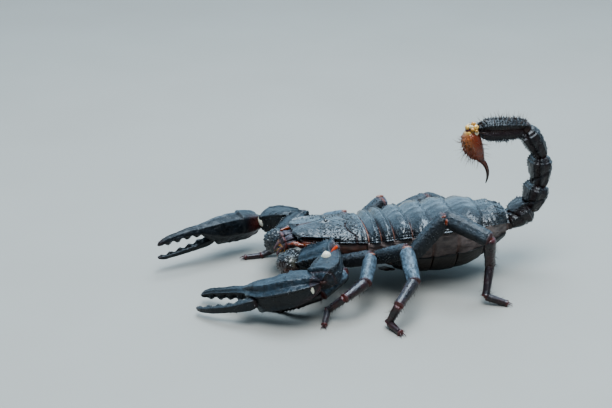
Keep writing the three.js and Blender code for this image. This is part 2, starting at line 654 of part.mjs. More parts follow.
const shell = carapace();
addPart('carapace', shell, BLACK_CUTICLE);
const chest = cut(coxosternum(), abdomen(GAP));
const grownChest = coxosternum(GAP);
addPart('coxosternum', chest, BROWN_CUTICLE);
for (const [side, sign] of [['left', 1], ['right', -1]]) {
  addPart(`median_eye_${side}`, medianEye(sign, shell), EYE_BLACK);
  addPart(`chelicera_${side}`, cut(chelicera(sign), shell, grownChest), BROWN_CUTICLE);
}

let plateStart = TRUNK_START;
TERGITE_LENGTHS.forEach((length, k) => {
  addPart(`tergite_${k + 1}`, tergite(plateStart, length), BLACK_CUTICLE);
  plateStart += length;
});
addPart('abdomen', abdomen(), SOFT_SKIN);
addPart('sternites', sternites(), BROWN_CUTICLE);
addPart('pecten_left', pecten(1), BROWN_CUTICLE);
addPart('pecten_right', pecten(-1), BROWN_CUTICLE);

const TELSON_LOOKS = { telson_vesicle: AMBER_CUTICLE, telson_sting: DARK_STING };
for (const [name, solid] of Object.entries(tail())) {
  addPart(name, solid, TELSON_LOOKS[name] ?? BLACK_CUTICLE);
}

for (const side of ['left', 'right']) {
  for (const [name, solid] of Object.entries(pedipalp(side))) {
    addPart(`pedipalp_${side}_${name}`, cut(solid, grownChest), BLACK_CUTICLE);
  }
  for (const number of [1, 2, 3, 4]) {
    for (const [name, solid] of Object.entries(leg(side, number, grownChest))) {
      const look = name === 'foot' ? BROWN_CUTICLE : BLACK_CUTICLE;
      addPart(`leg_${side}_${number}_${name}`, solid, look);
    }
  }
}

const bounds = new THREE.Box3().setFromObject(scorpion);
const middle = bounds.getCenter(new THREE.Vector3());
scorpion.position.set(-middle.x, -middle.y, -bounds.min.z);

export default scorpion;
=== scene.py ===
# %% [markdown]
# # A black forest scorpion, life size
# The animal stands on a pale floor with its claws held forward and its tail curled
# over its back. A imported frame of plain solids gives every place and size. This
# script covers those solids with fine shells: plates with grains and keels, soft
# skin where the plates part, claws with teeth, and fine bristles.
#
# Start by loading the frame. Nothing here moves or resizes it.

# %% Load the frame
import itertools
import math
from functools import partial

import bpy
import numpy as np
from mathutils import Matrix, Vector


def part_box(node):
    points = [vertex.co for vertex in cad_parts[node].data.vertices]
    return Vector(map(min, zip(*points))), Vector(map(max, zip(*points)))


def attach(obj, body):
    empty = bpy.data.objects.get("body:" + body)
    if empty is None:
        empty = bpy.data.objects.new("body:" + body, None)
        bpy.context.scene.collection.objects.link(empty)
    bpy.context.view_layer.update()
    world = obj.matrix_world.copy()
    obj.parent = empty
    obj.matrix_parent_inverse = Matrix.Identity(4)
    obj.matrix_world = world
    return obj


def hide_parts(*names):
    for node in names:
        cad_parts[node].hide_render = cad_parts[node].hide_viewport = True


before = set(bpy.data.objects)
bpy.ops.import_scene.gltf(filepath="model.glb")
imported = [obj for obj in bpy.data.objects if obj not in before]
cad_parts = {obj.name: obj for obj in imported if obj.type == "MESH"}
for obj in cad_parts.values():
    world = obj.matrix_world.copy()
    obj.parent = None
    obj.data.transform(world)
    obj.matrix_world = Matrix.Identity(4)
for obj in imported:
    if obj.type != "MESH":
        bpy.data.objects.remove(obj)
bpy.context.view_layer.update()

print(f"frame: {len(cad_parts)} solids")

# %% [markdown]
# ## Where the animal lies in the frame
# All sizes below are millimetres in the animal's own axes: the head looks along -Y,
# its left side is +X, y = 0 is the head shield's front edge and z = 0 the floor.
# The head shield and the first back plate of the frame say how far those axes are
# shifted, so nothing has to be fitted by eye.

# %% Animal axes
MM = 0.001
GAP = 0.24
CARAPACE_LENGTH = 16.2
TRUNK_START = CARAPACE_LENGTH + GAP

shield_low, shield_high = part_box("carapace")
first_plate_low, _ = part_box("tergite_1")
ORIGIN = np.array([
    (shield_low.x + shield_high.x) / 2,
    first_plate_low.y - (TRUNK_START + GAP / 2) * MM,
    0.0,
])


def to_scene(points):
    """Millimetres on the animal to metres in the frame."""
    return ORIGIN + np.asarray(points, float) * MM


print("animal's zero in the frame, mm:", np.round(ORIGIN / MM, 2))

# %% [markdown]
# ## Drawing smooth lines through a few points
# Real shells swell and taper without corners. A straight line between two sizes
# would show as a facet, and a plain spline overshoots. This curve passes through
# every knot, stays smooth, and never swings past a knot's value.

# %% Smooth curves


def smooth_curve(knots, x):
    """Values at x of a smooth line through (place, value) knots."""
    xs, ys = np.array(knots, float).T
    rise = np.diff(ys) / np.diff(xs)
    before = np.concatenate([rise[:1], rise])
    after = np.concatenate([rise, rise[-1:]])
    tangent = np.where(before * after > 0, (before + after) / 2, 0)
    limit = 3 * np.minimum(np.abs(before), np.abs(after))
    tangent = np.clip(tangent, -limit, limit)
    x = np.clip(x, xs[0], xs[-1])
    k = np.clip(np.searchsorted(xs, x, side="right") - 1, 0, len(xs) - 2)
    span = xs[k + 1] - xs[k]
    t = (x - xs[k]) / span
    value = (2 * t**3 - 3 * t**2 + 1) * ys[k] + (3 * t**2 - 2 * t**3) * ys[k + 1]
    return value + ((t**3 - 2 * t**2 + t) * tangent[k] + (t**3 - t**2) * tangent[k + 1]) * span


def fade(x, start, end):
    """0 before start, 1 after end, and a soft step between them."""
    t = np.clip((x - start) / (end - start), 0, 1)
    return t * t * (3 - 2 * t)


def hump(x, centre, width):
    """A soft rise to 1 at the centre."""
    return np.exp(-(((x - centre) / width) ** 2))


print("a knot keeps its value:", smooth_curve([(0, 1), (1, 2), (2, 2)], np.array([1.0])))

# %% [markdown]
# ## Grains and unevenness
# A scorpion's shell is set with grains like fine shagreen. They could be painted as
# bump only, but then edges stay straight and highlights stay smooth. Here they
# really stand out of the mesh: points are scattered through space, one per small
# cell, and the shell rises into a dome wherever it passes near one.

# %% Grain and noise fields


def cell_random(cells, seed, salt):
    """A repeatable random number from 0 to 1 for each cell."""
    mixed = cells @ np.array([73856093, 19349663, 83492791], np.int64)
    mixed = (mixed ^ (seed * 2654435761 + salt * 40503)) & 0x7FFFFFFF
    mixed = (mixed * 1103515245 + 12345) & 0x7FFFFFFF
    mixed = ((mixed >> 13) ^ mixed) * 60493 & 0x7FFFFFFF
    return mixed / float(0x7FFFFFFF)


def grains(points, spacing, seed=1, fill=0.5):
    """Domes from 0 to 1 about as far apart as spacing, in millimetres."""
    shape = points.shape[:-1]
    place = points.reshape(-1, 3) / spacing
    cells = np.floor(place).astype(np.int64)
    nearest = np.full(len(place), 9.0)
    for step in itertools.product((-1, 0, 1), repeat=3):
        cell = cells + np.array(step, np.int64)
        jitter = np.stack([cell_random(cell, seed, salt) for salt in (1, 2, 3)], 1)
        nearest = np.minimum(nearest, ((cell + jitter - place) ** 2).sum(1))
    dome = np.sqrt(np.clip(1 - nearest / fill**2, 0, 1))
    return dome.reshape(shape)


def uneven(points, size, seed=1):
    """Smooth noise from -1 to 1 whose lumps are about size millimetres across."""
    shape = points.shape[:-1]
    place = points.reshape(-1, 3) / size
    cells = np.floor(place).astype(np.int64)
    t = place - cells
    t = t * t * (3 - 2 * t)
    total = np.zeros(len(place))
    for corner in itertools.product((0, 1), repeat=3):
        weight = np.prod(np.where(np.array(corner), t, 1 - t), axis=1)
        total += weight * cell_random(cells + np.array(corner, np.int64), seed, 7)
    return (2 * total - 1).reshape(shape)


sample = np.random.default_rng(1).uniform(0, 10, (1000, 3))
print(f"grains cover {np.mean(grains(sample, 1) > 0):.0%} of space")

# %% [markdown]
# ## From a grid of points to a piece
# Every shell below starts as a grid: rows along the part, columns round it. A grid
# gives even quads that shade cleanly, and each point knows its place along and
# round the part, which keels and colours need. Several grids can share one piece.
# The piece's faces are turned outward by the sign of the volume they enclose.

# %% Grids


def unit(vectors):
    """The same headings, each one long."""
    return vectors / (np.linalg.norm(vectors, axis=-1, keepdims=True) + 1e-12)


def circle(degrees):
    """The cosine and the sine of angles in degrees."""
    return np.cos(np.radians(degrees)), np.sin(np.radians(degrees))


def outward(grid, wrap=True):
    """Unit normals of a grid, pointing away from the middle of each row."""
    if wrap:
        round_it = (np.roll(grid, -1, axis=1) - np.roll(grid, 1, axis=1)) / 2
    else:
        round_it = np.gradient(grid, axis=1)
    normal = unit(np.cross(np.gradient(grid, axis=0), round_it))
    arm = grid - grid.mean(axis=1, keepdims=True)
    return normal if (normal * arm).sum() > 0 else -normal


def raised(grid, relief, wrap=True):
    """A grid moved outward by a relief in millimetres."""
    return grid + outward(grid, wrap) * relief[..., None]


def facing_up(grid, low=0.2, high=0.85, wrap=True):
    """1 where a grid faces the sky, 0 where it turns away."""
    return fade(outward(grid, wrap)[..., 2], low, high)


def tube_faces(rows, columns):
    """Quads round a closed tube and triangles that close its two ends."""
    index = np.arange(rows * columns).reshape(rows, columns)
    right = np.roll(index, -1, axis=1)
    quads = np.stack([index[:-1], right[:-1], right[1:], index[1:]], -1).reshape(-1, 4)
    first_pole, last_pole = np.full(columns, rows * columns), np.full(columns, rows * columns + 1)
    start = np.stack([right[0], index[0], first_pole], -1)
    end = np.stack([index[-1], right[-1], last_pole], -1)
    return quads, np.concatenate([start, end])


def with_poles(values):
    """A grid's values as one list, with the mean of its first and last row added."""
    flat = values.reshape(-1, *values.shape[2:])
    return np.concatenate([flat, values[:1].mean(axis=1), values[-1:].mean(axis=1)])


def signed_volume(points, quads, triangles):
    """The volume that faces enclose, below 0 where they are inside out."""
    halves = np.concatenate([triangles, quads[:, [0, 1, 2]], quads[:, [0, 2, 3]]])
    a, b, c = (points[halves[:, k]] for k in range(3))
    return (a * np.cross(b, c)).sum() / 6


print("a tube of 3 rows and 4 columns has", len(tube_faces(3, 4)[0]), "quads")

# %% Pieces
# The last mark paints a blue-grey sheen into the colour of faces that look up.
MARKS = ("warm", "pale", "rough", "hairy", "painted_sheen")
SHARP_EDGE = math.radians(60)
PIECES = {}
GRIDS = {}


def join_grids(grids):
    """Closed grids as one list each of points, quads, triangles and marks."""
    lists, marks, first = ([], [], []), {key: [] for key in MARKS}, 0
    for grid, attributes in grids:
        block = with_poles(grid)
        faces = tube_faces(*grid.shape[:2])
        if signed_volume(block, *faces) < 0:
            faces = [face[:, ::-1] for face in faces]
        for values, entry in zip(lists, (block, first + faces[0], first + faces[1])):
            values.append(entry)
        for key in MARKS:
            marks[key].append(with_poles(np.broadcast_to(attributes.get(key, 0.0), grid.shape[:2])))
        first += len(block)
    return *map(np.concatenate, lists), {key: np.concatenate(values) for key, values in marks.items()}


def add_object(name, data):
    """Shows some data in the scene."""
    obj = bpy.data.objects.new(name, data)
    bpy.context.scene.collection.objects.link(obj)
    return obj


def write_attribute(mesh, key, values):
    """Stores a number or a vector at every point of a mesh."""
    kind, field = ("FLOAT", "value") if values.ndim == 1 else ("FLOAT_VECTOR", "vector")
    attribute = mesh.attributes.new(key, kind, "POINT")
    attribute.data.foreach_set(field, values.astype(np.float32).ravel())


def mesh_object(name, points, quads, triangles, marks):
    """A mesh with its marks as point attributes."""
    mesh = bpy.data.meshes.new(name)
    corners = np.concatenate([quads.ravel(), triangles.ravel()]).astype(np.int32)
    starts = np.concatenate([np.arange(len(quads)) * 4, quads.size + np.arange(len(triangles)) * 3])
    mesh.vertices.add(len(points))
    mesh.vertices.foreach_set("co", to_scene(points).astype(np.float32).ravel())
    mesh.loops.add(len(corners))
    mesh.loops.foreach_set("vertex_index", corners)
    mesh.polygons.add(len(starts))
    mesh.polygons.foreach_set("loop_start", starts.astype(np.int32))
    mesh.update(calc_edges=True)
    for key, values in marks.items():
        write_attribute(mesh, key, np.clip(values, 0, 1))
    return add_object(name, mesh)


def settle(obj, replaces=()):
    """Fixes a finished, smooth-shaded piece to the frame's one body."""
    obj.data.polygons.foreach_set("use_smooth", np.ones(len(obj.data.polygons), bool))
    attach(obj, "root")
    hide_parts(*replaces)
    PIECES[obj.name] = sum(len(p.vertices) - 2 for p in obj.data.polygons)
    return obj


def make_piece(name, grids, finish, replaces=()):
    """One mesh from closed grids. Each grid is (points, {mark: values})."""
    # Faces that look up get painted sheen unless a grid's own marks set it.
    lit = [(grid, {"painted_sheen": facing_up(grid), **marks}) for grid, marks in grids]
    obj = mesh_object(name, *join_grids(lit))
    obj.data.materials.append(finish)
    obj.data.set_sharp_from_angle(angle=SHARP_EDGE)
    GRIDS[name] = grids
    return settle(obj, replaces)


def count(word):
    """Prints how many triangles the pieces with a word in their names have."""
    print(f"{word}:", sum(size for name, size in PIECES.items() if word in name), "triangles")


print("a grid becomes one closed piece with the marks", MARKS)

# %% [markdown]
# ## Finishes
# Live cuticle is almost black but never one flat black. It turns ruddy at the rims
# and joints, is cloudy, and its gloss comes and goes. On faces that look up a
# blue-grey sheen is painted into the colour. One function makes every shell finish,
# so that all parts share one character. The marks on the meshes say where it is
# warm, pale, rough, or given painted sheen.

# %% Node helpers


def fill(tree, made, sockets):
    """Sets sockets to values or other nodes' outputs. A colour is given in thousandths."""
    for key, value in sockets.items():
        socket = made.inputs[key]
        if isinstance(value, bpy.types.NodeSocket):
            tree.links.new(value, socket)
        elif socket.type == "RGBA":
            socket.default_value = (*np.divide(value, 1000), 1)
        else:
            socket.default_value = value


def node(tree, kind, sockets=None, **settings):
    """Adds a node and gives back its outputs."""
    made = tree.nodes.new(kind)
    for key, value in settings.items():
        setattr(made, key, value)
    fill(tree, made, sockets or {})
    return made.outputs


def maths(tree, operation, *values):
    """One step of arithmetic."""
    return node(tree, "ShaderNodeMath", dict(enumerate(values)), operation=operation)[0]


def pattern(tree, scale, kind="ShaderNodeTexNoise", **sockets):
    """A texture on the piece's own coordinates. Scale is lumps per millimetre."""
    place = node(tree, "ShaderNodeTexCoord")["Object"]
    return node(tree, kind, {"Vector": place, "Scale": scale / MM, **sockets})[0]


def spread(tree, value, low, high, start=0.3, end=0.7):
    """Stretches a pattern's values from start-end to low-high."""
    sockets = {"Value": value, "From Min": start, "From Max": end, "To Min": low, "To Max": high}
    return node(tree, "ShaderNodeMapRange", sockets)["Result"]


def tinted(tree, share, base, colour):
    """The base colour, turned to another colour by a share from 0 to 1."""
    sockets = {"Factor": share, "A": base, "B": colour}
    return node(tree, "ShaderNodeMix", sockets, data_type="RGBA")["Result"]


def mark(tree, key):
    """What the mesh's marks say."""
    return node(tree, "ShaderNodeAttribute", attribute_name=key)["Fac"]


def bumps(tree, height, strength, depth, under=None):
    """Ripples depth millimetres high, on top of the ripples under them."""
    sockets = {"Height": height, "Strength": strength, "Distance": depth * MM}
    if under:
        sockets["Normal"] = under
    return node(tree, "ShaderNodeBump", sockets)["Normal"]


def new_material(name):
    """A material, its tree of nodes and its shader."""
    material = bpy.data.materials.new(name)
    material.use_nodes = True
    return material, material.node_tree, material.node_tree.nodes["Principled BSDF"]


def plain_finish(name, scale, deep, light, sockets, detail=2.0, start=0.3, end=0.7):
    """A clouded colour without marks."""
    material, tree, shader = new_material(name)
    share = spread(tree, pattern(tree, scale, Detail=detail), 0, 1, start, end)
    fill(tree, shader, {"Base Color": tinted(tree, share, deep, light), **sockets})
    return material


print("node helpers ready")

# %% Shell finish


def shell_finish(name, deep, light, warm, sheen_colour, gloss, ripple, coat, shine=0.55, pale=(750, 660, 480)):
    """Cuticle: cloudy dark colour, painted sheen on upward faces, warm and pale marks, broken gloss, ripples
    and pitting.
    """
    material, tree, shader = new_material(name)
    cloud = pattern(tree, 0.45, Detail=5.0, Roughness=0.6)
    wave = pattern(tree, 0.8, Detail=4.0, Roughness=0.6, Distortion=1.2)
    fleck = pattern(tree, 2.6, Detail=3.0)
    pits = pattern(tree, 4.5, "ShaderNodeTexVoronoi")
    # The painted sheen: a patchy blue-grey sheen painted into the colour where the mark says.
    sheen_share = maths(tree, "MULTIPLY", mark(tree, "painted_sheen"), spread(tree, wave, 0.05, 1.15))
    patchy = maths(tree, "MULTIPLY", mark(tree, "warm"), spread(tree, fleck, 0.55, 1))
    colour = tinted(tree, spread(tree, cloud, 0, 1), deep, light)
    for share, tint in ((sheen_share, sheen_colour), (patchy, warm), (mark(tree, "pale"), pale)):
        colour = tinted(tree, share, colour, tint)
    dull = maths(tree, "MULTIPLY_ADD", mark(tree, "rough"), 0.12, spread(tree, cloud, *gloss))
    broad = bumps(tree, wave, ripple, 0.4)
    fine = bumps(tree, maths(tree, "ADD", pits, fleck), 0.22, 0.05, broad)
    fill(tree, shader, {"Base Color": colour, "Roughness": dull, "Normal": fine, "Specular IOR Level": shine,
                        "Coat Weight": coat, "Coat Roughness": 0.12})
    return material


# Deep, light, warm and painted-sheen colour, range of gloss, ripple and coat, then
# shine and pale colour. The sheen colour is painted onto faces that look up.
SHELL = {name: shell_finish(f"{name}_shell", *row) for name, row in {
    "black": ((1.5, 2, 3), (5, 7, 10), (90, 20, 8), (12, 23, 34), (0.13, 0.3), 1.0, 0.8),
    "claw": ((1.5, 2.2, 3.2), (5, 7.5, 11), (70, 13, 8), (24, 40, 55), (0.26, 0.46), 0.8, 0.15, 0.45),
    "grain": ((1.5, 2, 3), (4, 6, 8), (90, 20, 8), (10, 14, 18), (0.12, 0.22), 0.0, 0.8),
    "mouth": ((10, 7, 10), (45, 34, 46), (170, 30, 14), (60, 45, 60), (0.28, 0.48), 0.8, 0.1),
    "brown": ((3.5, 2.2, 2.2), (12, 7, 6), (100, 22, 9), (12, 23, 34), (0.24, 0.4), 0.5, 0.3),
    "belly": ((5, 3.2, 2.5), (18, 11, 7), (80, 32, 14), (8, 6, 5), (0.34, 0.55), 0.5, 0.1),
    "tail": ((2.6, 1.8, 2.2), (8.5, 6, 7.5), (70, 14, 12), (10, 14, 20), (0.24, 0.42), 1.0, 0.3, 0.45),
    "leg": ((1.8, 2.4, 3.5), (6, 8, 12), (120, 16, 10), (145, 200, 248), (0.34, 0.54), 1.0, 0.1),
    "foot": ((3.5, 2.5, 3.5), (14, 7, 9), (150, 18, 12), (30, 28, 36), (0.22, 0.38), 0.6, 0.3),
    "amber": ((110, 13, 2), (260, 40, 5), (22, 4, 2), (340, 60, 8), (0.14, 0.26), 0.6, 0.5, 0.55,
              (800, 500, 120)),
    "sting": ((8, 3, 2), (20, 7, 4), (200, 30, 6), (20, 8, 5), (0.15, 0.25), 0.2, 0.5),
}.items()}
print("shell finishes:", list(SHELL))

# %% [markdown]
# ## Soft skin
# Between the plates lies skin that folds. It is duller than shell, lighter, and
# finely creased along the body. Subsurface scattering lets its edges glow a little,
# as thin wet skin does, where a plain paint would look like card.

# %% Soft finishes


def skin_finish(name, deep, light, warm, pale, roughness, scatter):
    """Skin: cloudy colour, warm and pale marks, fine creases, and a little glow."""
    material, tree, shader = new_material(name)
    crease = pattern(tree, 5.0, Detail=2.0)
    colour = tinted(tree, spread(tree, pattern(tree, 0.6, Detail=6.0, Roughness=0.65), 0, 1), deep, light)
    for key, tint in (("warm", warm), ("pale", pale)):
        colour = tinted(tree, mark(tree, key), colour, tint)
    fill(tree, shader, {
        "Base Color": colour, "Roughness": spread(tree, crease, roughness - 0.08, roughness + 0.08),
        "Normal": bumps(tree, crease, 0.5, 0.06), "Subsurface Weight": scatter,
        "Subsurface Radius": (1.0, 0.5, 0.3), "Subsurface Scale": 0.4 * MM})
    return material


FLANK_SKIN = skin_finish("flank_skin", (46, 30, 27), (165, 122, 112), (220, 60, 22),
                         (240, 190, 170), 0.42, 0.05)
JOINT_SKIN = skin_finish("joint_skin", (440, 300, 130), (700, 620, 440), (500, 55, 8),
                         (740, 740, 660), 0.32, 0.2)
RUST_SKIN = skin_finish("rust_skin", (10, 5, 4), (40, 14, 9), (140, 18, 7), (420, 300, 220), 0.36, 0.05)
EYE_BLACK = plain_finish("eye_black", 2.0, (3, 3, 4), (20, 12, 10),
                         {"Roughness": 0.06, "Coat Weight": 1.0, "Coat Roughness": 0.03})
print("soft and eye finishes ready")

# %% [markdown]
# ## The trunk's shape
# Head shield, back plates, flanks and belly all lie on one body surface. It is
# drawn by a few cross-sections: half width, height of the widest line, of the back
# and of the belly. Between them the smooth curve takes over, and each section is a
# rounded square, as the animal's is. Every plate is then cut from this surface.

# %% Trunk surface
TRUNK_PLACES = (0, 4, 9, 16.5, 23, 31, 38, 44, 50.5)
TRUNK_ROWS = {key: list(zip(TRUNK_PLACES, sizes)) for key, sizes in {
    "half_width": (4.5, 6.4, 7.4, 8.0, 8.6, 9.1, 8.9, 7.5, 4.0),
    "side": (12.2, 11.8, 11.3, 10.8, 11.3, 12.0, 12.5, 12.8, 12.2),
    "top": (14.0, 14.5, 14.7, 14.7, 15.4, 16.3, 16.7, 16.3, 14.8),
    "belly": (9.0, 8.0, 7.2, 5.6, 3.2, 1.9, 2.3, 4.6, 9.0),
}.items()}
TRUNK_SQUARENESS = 2.5


def squared(value, squareness):
    """A sine or cosine pushed outward, which turns a circle into a rounded square."""
    return np.sign(value) * np.abs(value) ** (2 / squareness)


def trunk_surface(y, angle, inset=0.0):
    """Points at y behind the front edge; 0 degrees is the left side, 90 the back."""
    y, angle, inset = np.broadcast_arrays(y, angle, inset)
    row = {key: smooth_curve(knots, y) for key, knots in TRUNK_ROWS.items()}
    across, up = circle(angle)
    reach = np.where(up > 0, row["top"] - row["side"], row["side"] - row["belly"])
    x = (row["half_width"] - inset) * squared(across, TRUNK_SQUARENESS)
    z = row["side"] + (reach - inset) * squared(up, TRUNK_SQUARENESS)
    return np.stack([x, y, z], -1)


section = trunk_surface(31.0, np.linspace(0, 360, 73))
print(f"the trunk at its widest is {np.ptp(section[:, 0]):.1f} mm wide, {np.ptp(section[:, 2]):.1f} mm deep")

# %% Plates cut from the trunk


def from_edge(columns, pitch):
    """How far each column of a plate is from the nearer side edge, in millimetres."""
    column = np.arange(columns)
    return np.minimum(column, column[::-1]) * pitch


def edge_drop(distance, radius):
    """Rounds an edge down within a radius of it."""
    share = np.clip(1 - distance / radius, 0, 1)
    return -radius * (1 - np.sqrt(1 - share**2))


def make_plate(name, outer, inner, dress, finish, replaced):
    """One piece: a raised and marked outside, and a plain inside on the way back."""
    relief, marks = dress
    grid = np.concatenate([raised(outer, relief, wrap=False), inner[:, ::-1]], axis=1)
    marks = {key: np.concatenate([value, np.zeros_like(value)], axis=1) for key, value in marks.items()}
    make_piece(name, [(grid, marks)], finish, [replaced])


print("columns from a plate's edge:", from_edge(5, 1.0))

# %% [markdown]
# ## Head shield
# The shield is one plate: two smooth lobes beside a notch in front, a smooth disc
# in the middle that takes a painted blue-grey sheen, a low mound that carries the
# two main eyes, and flanks thick with grains. Curved grooves with a ruddy floor set
# off its rear corners, and a beaded rim runs round its edge. Each of these is one
# term of a relief that raises or sinks the grid along its normals.

# %% Head shield
CARAPACE_NOTCH_DEPTH = 1.9
CARAPACE_NOTCH_WIDTH = 1.1
CARAPACE_CORNER = 1.1
CARAPACE_THICKNESS = 0.7
CARAPACE_EDGE = 9
CARAPACE_ROWS = 126
CARAPACE_COLUMNS = 160
EYE_SPACING = 0.8
EYE_SETBACK = 8.0
EYE_MOUND = 0.6


def carapace_start(x):
    """How far back the front edge lies at x: a notch in the middle, round corners."""
    notch = CARAPACE_NOTCH_DEPTH * hump(x, 0, CARAPACE_NOTCH_WIDTH)
    return notch + CARAPACE_CORNER * (np.abs(x) / TRUNK_ROWS["half_width"][0][1]) ** 4


def carapace_layer(inset):
    """The shield's plain surface, some millimetres under the trunk's."""
    angle = np.linspace(CARAPACE_EDGE, 180 - CARAPACE_EDGE, CARAPACE_COLUMNS)[None, :]
    start = carapace_start(trunk_surface(0.0, angle)[..., 0])
    t = np.linspace(0, 1, CARAPACE_ROWS)[:, None]
    return trunk_surface(start + t * (CARAPACE_LENGTH - start), angle, inset)


def dress_carapace(grid):
    """Height over the plain shield in millimetres, and its colour marks."""
    x, y = np.abs(grid[..., 0]), grid[..., 1]
    from_side, from_front = from_edge(CARAPACE_COLUMNS, 0.125), y - carapace_start(x)
    mound = EYE_MOUND * np.exp(-((x / 1.5) ** 2) - ((y - EYE_SETBACK) / 2.2) ** 2)
    brow = 0.16 * hump(x, 0.62, 0.22) * hump(y, EYE_SETBACK, 1.3)
    middle = hump(x, 0, 0.2) * (fade(y, 1.6, 2.4) - 0.8 * hump(y, EYE_SETBACK, 1.8))
    middle = middle * (1 - fade(y, 14.6, 15))
    rear_arc = hump(y, 13.7 - 1.8 * np.sin(np.pi * np.clip(x / 6.9, 0, 1)), 0.2) * fade(x, 0.7, 1.8)
    shoulder = hump(from_side, 2.0, 0.36) * (1 - fade(y, 7.5, 10)) * fade(y, 0.8, 2)
    hollow = hump(from_side, 1.15, 0.42) * (1 - fade(y, 8, 10.5)) * fade(y, 0.8, 2)
    rim, front_rim = hump(from_side, 0.45, 0.28), hump(from_front, 0.5, 0.3)
    disc = np.exp(-((x / 2.6) ** 4)) * (1 - fade(y, 10.5, 13.0))
    coarse = (1 - disc) * fade(from_front, 0.8, 3.0) * (1 - 0.9 * hollow)
    strewn = fade(y, 5.0, 7.0) * (1 - fade(y, 14.0, 15.5)) * fade(from_side, 1.0, 2.2)
    relief = mound + brow - 0.22 * middle - 0.34 * rear_arc - 0.2 * hump(y, 15.15, 0.22)
    relief += 0.8 * shoulder - hollow + 0.3 * rim - 0.16 * hump(from_side, 1, 0.25) + 0.08 * front_rim
    relief += (0.09 * grains(grid, 0.55, 3) + 0.05 * uneven(grid, 0.5, 4)) * coarse
    relief += 0.09 * grains(grid, 0.42, 5) * np.maximum(rim, 0.7 * front_rim)
    relief += 0.08 * uneven(grid, 2.2, 6) + 0.05 * uneven(grid, 0.9, 7) * (1 - disc)
    relief += edge_drop(from_side, 0.3) + edge_drop(from_front, 0.35) + edge_drop(CARAPACE_LENGTH - y, 0.3)
    warm = 0.55 * rear_arc**2 + 0.9 * hump(x, 0, 0.3) * (1 - fade(y, 4.0, 5.2))
    warm += 0.25 * hump(from_side, 0.1, 0.3) + 0.35 * hollow**2 * hump(y, 4, 3)
    # Painted sheen: a blue-grey sheen on faces that look up, kept off the hollow and the grained flanks.
    painted_sheen = 0.3 * facing_up(grid, wrap=False) * (1 - 0.9 * hollow) * (1 - 0.85 * strewn * coarse)
    return relief, {"warm": warm, "rough": coarse * (0.15 + 0.85 * strewn), "painted_sheen": painted_sheen}


shield = carapace_layer(0.0)
make_plate("head_shield", shield, carapace_layer(CARAPACE_THICKNESS), dress_carapace(shield), SHELL["black"],
           "carapace")
count("head_shield")

# %% [markdown]
# ## Eyes
# Two main eyes sit on the sides of the mound and look up and out. Three small ones
# stand in a row at each front corner. A plain ball would look stuck on, so each eye
# is a low lens: a dome whose foot sinks into a raised lid.

# %% Eyes
SIDES = {"left": 1, "right": -1}
EYE_RADIUS = 0.52
SIDE_EYE_RADIUS = 0.21


def lens(centre, aim, radius, rise=0.75, rings=14, columns=28):
    """A low dome on its foot ring, facing along aim."""
    aim = unit(np.array(aim))
    side = unit(np.cross(aim, (0, 1, 0)))
    up = np.cross(side, aim)
    slope = np.linspace(0.02, 1, rings) * np.pi / 2
    spread_out = radius * np.concatenate([np.sin(slope), [1.0, 0.7]])
    height = radius * rise * np.concatenate([np.cos(slope), [-0.6, -0.9]])
    across, upward = circle(np.arange(columns) * 360 / columns)
    ring = across[:, None] * side + upward[:, None] * up
    return centre + spread_out[:, None, None] * ring + height[:, None, None] * aim


def shield_top(x, y, above):
    """A point a little above the shield's surface at x and y."""
    line = trunk_surface(y, np.linspace(20, 160, 1401))
    return line[np.argmin(np.abs(line[:, 0] - x))] + (0, 0, above)


for side, sign in SIDES.items():
    seat = shield_top(sign * EYE_SPACING, EYE_SETBACK, EYE_MOUND * 0.62)
    main_eye = lens(seat, (sign * 0.85, -0.1, 0.65), EYE_RADIUS)
    make_piece(f"median_eye_lens_{side}", [(main_eye, {})], EYE_BLACK, [f"median_eye_{side}"])
    seats = [shield_top(sign * (3.95 + 0.42 * k), 1.35 + 0.75 * k, 0.02) for k in range(3)]
    small = [(lens(seat, (sign * 0.8, -0.4, 0.5), SIDE_EYE_RADIUS), {}) for seat in seats]
    make_piece(f"side_eyes_{side}", small, EYE_BLACK)
print("eyes:", [name for name in PIECES if "eye" in name])

# %% [markdown]
# ## Back plates
# Seven plates lap over the trunk like roof tiles. Each is low in front, where it
# slips under its neighbour, swells like a pillow, and ends in a beaded rear rim.
# The middle is smooth and the flanks are grained and puckered, which breaks the
# light there into sparks. The last plate is grained all over and has four keels.

# %% Back plates
TERGITE_LENGTHS = [2.7, 2.9, 4.1, 5.0, 5.8, 6.5, 6.7]
TERGITE_STARTS = TRUNK_START + np.cumsum([0, *TERGITE_LENGTHS[:-1]])
TRUNK_END = TRUNK_START + sum(TERGITE_LENGTHS)
TERGITE_EDGE = 9
PLATE_THICKNESS = 0.6
PLATE_COLUMNS = 170


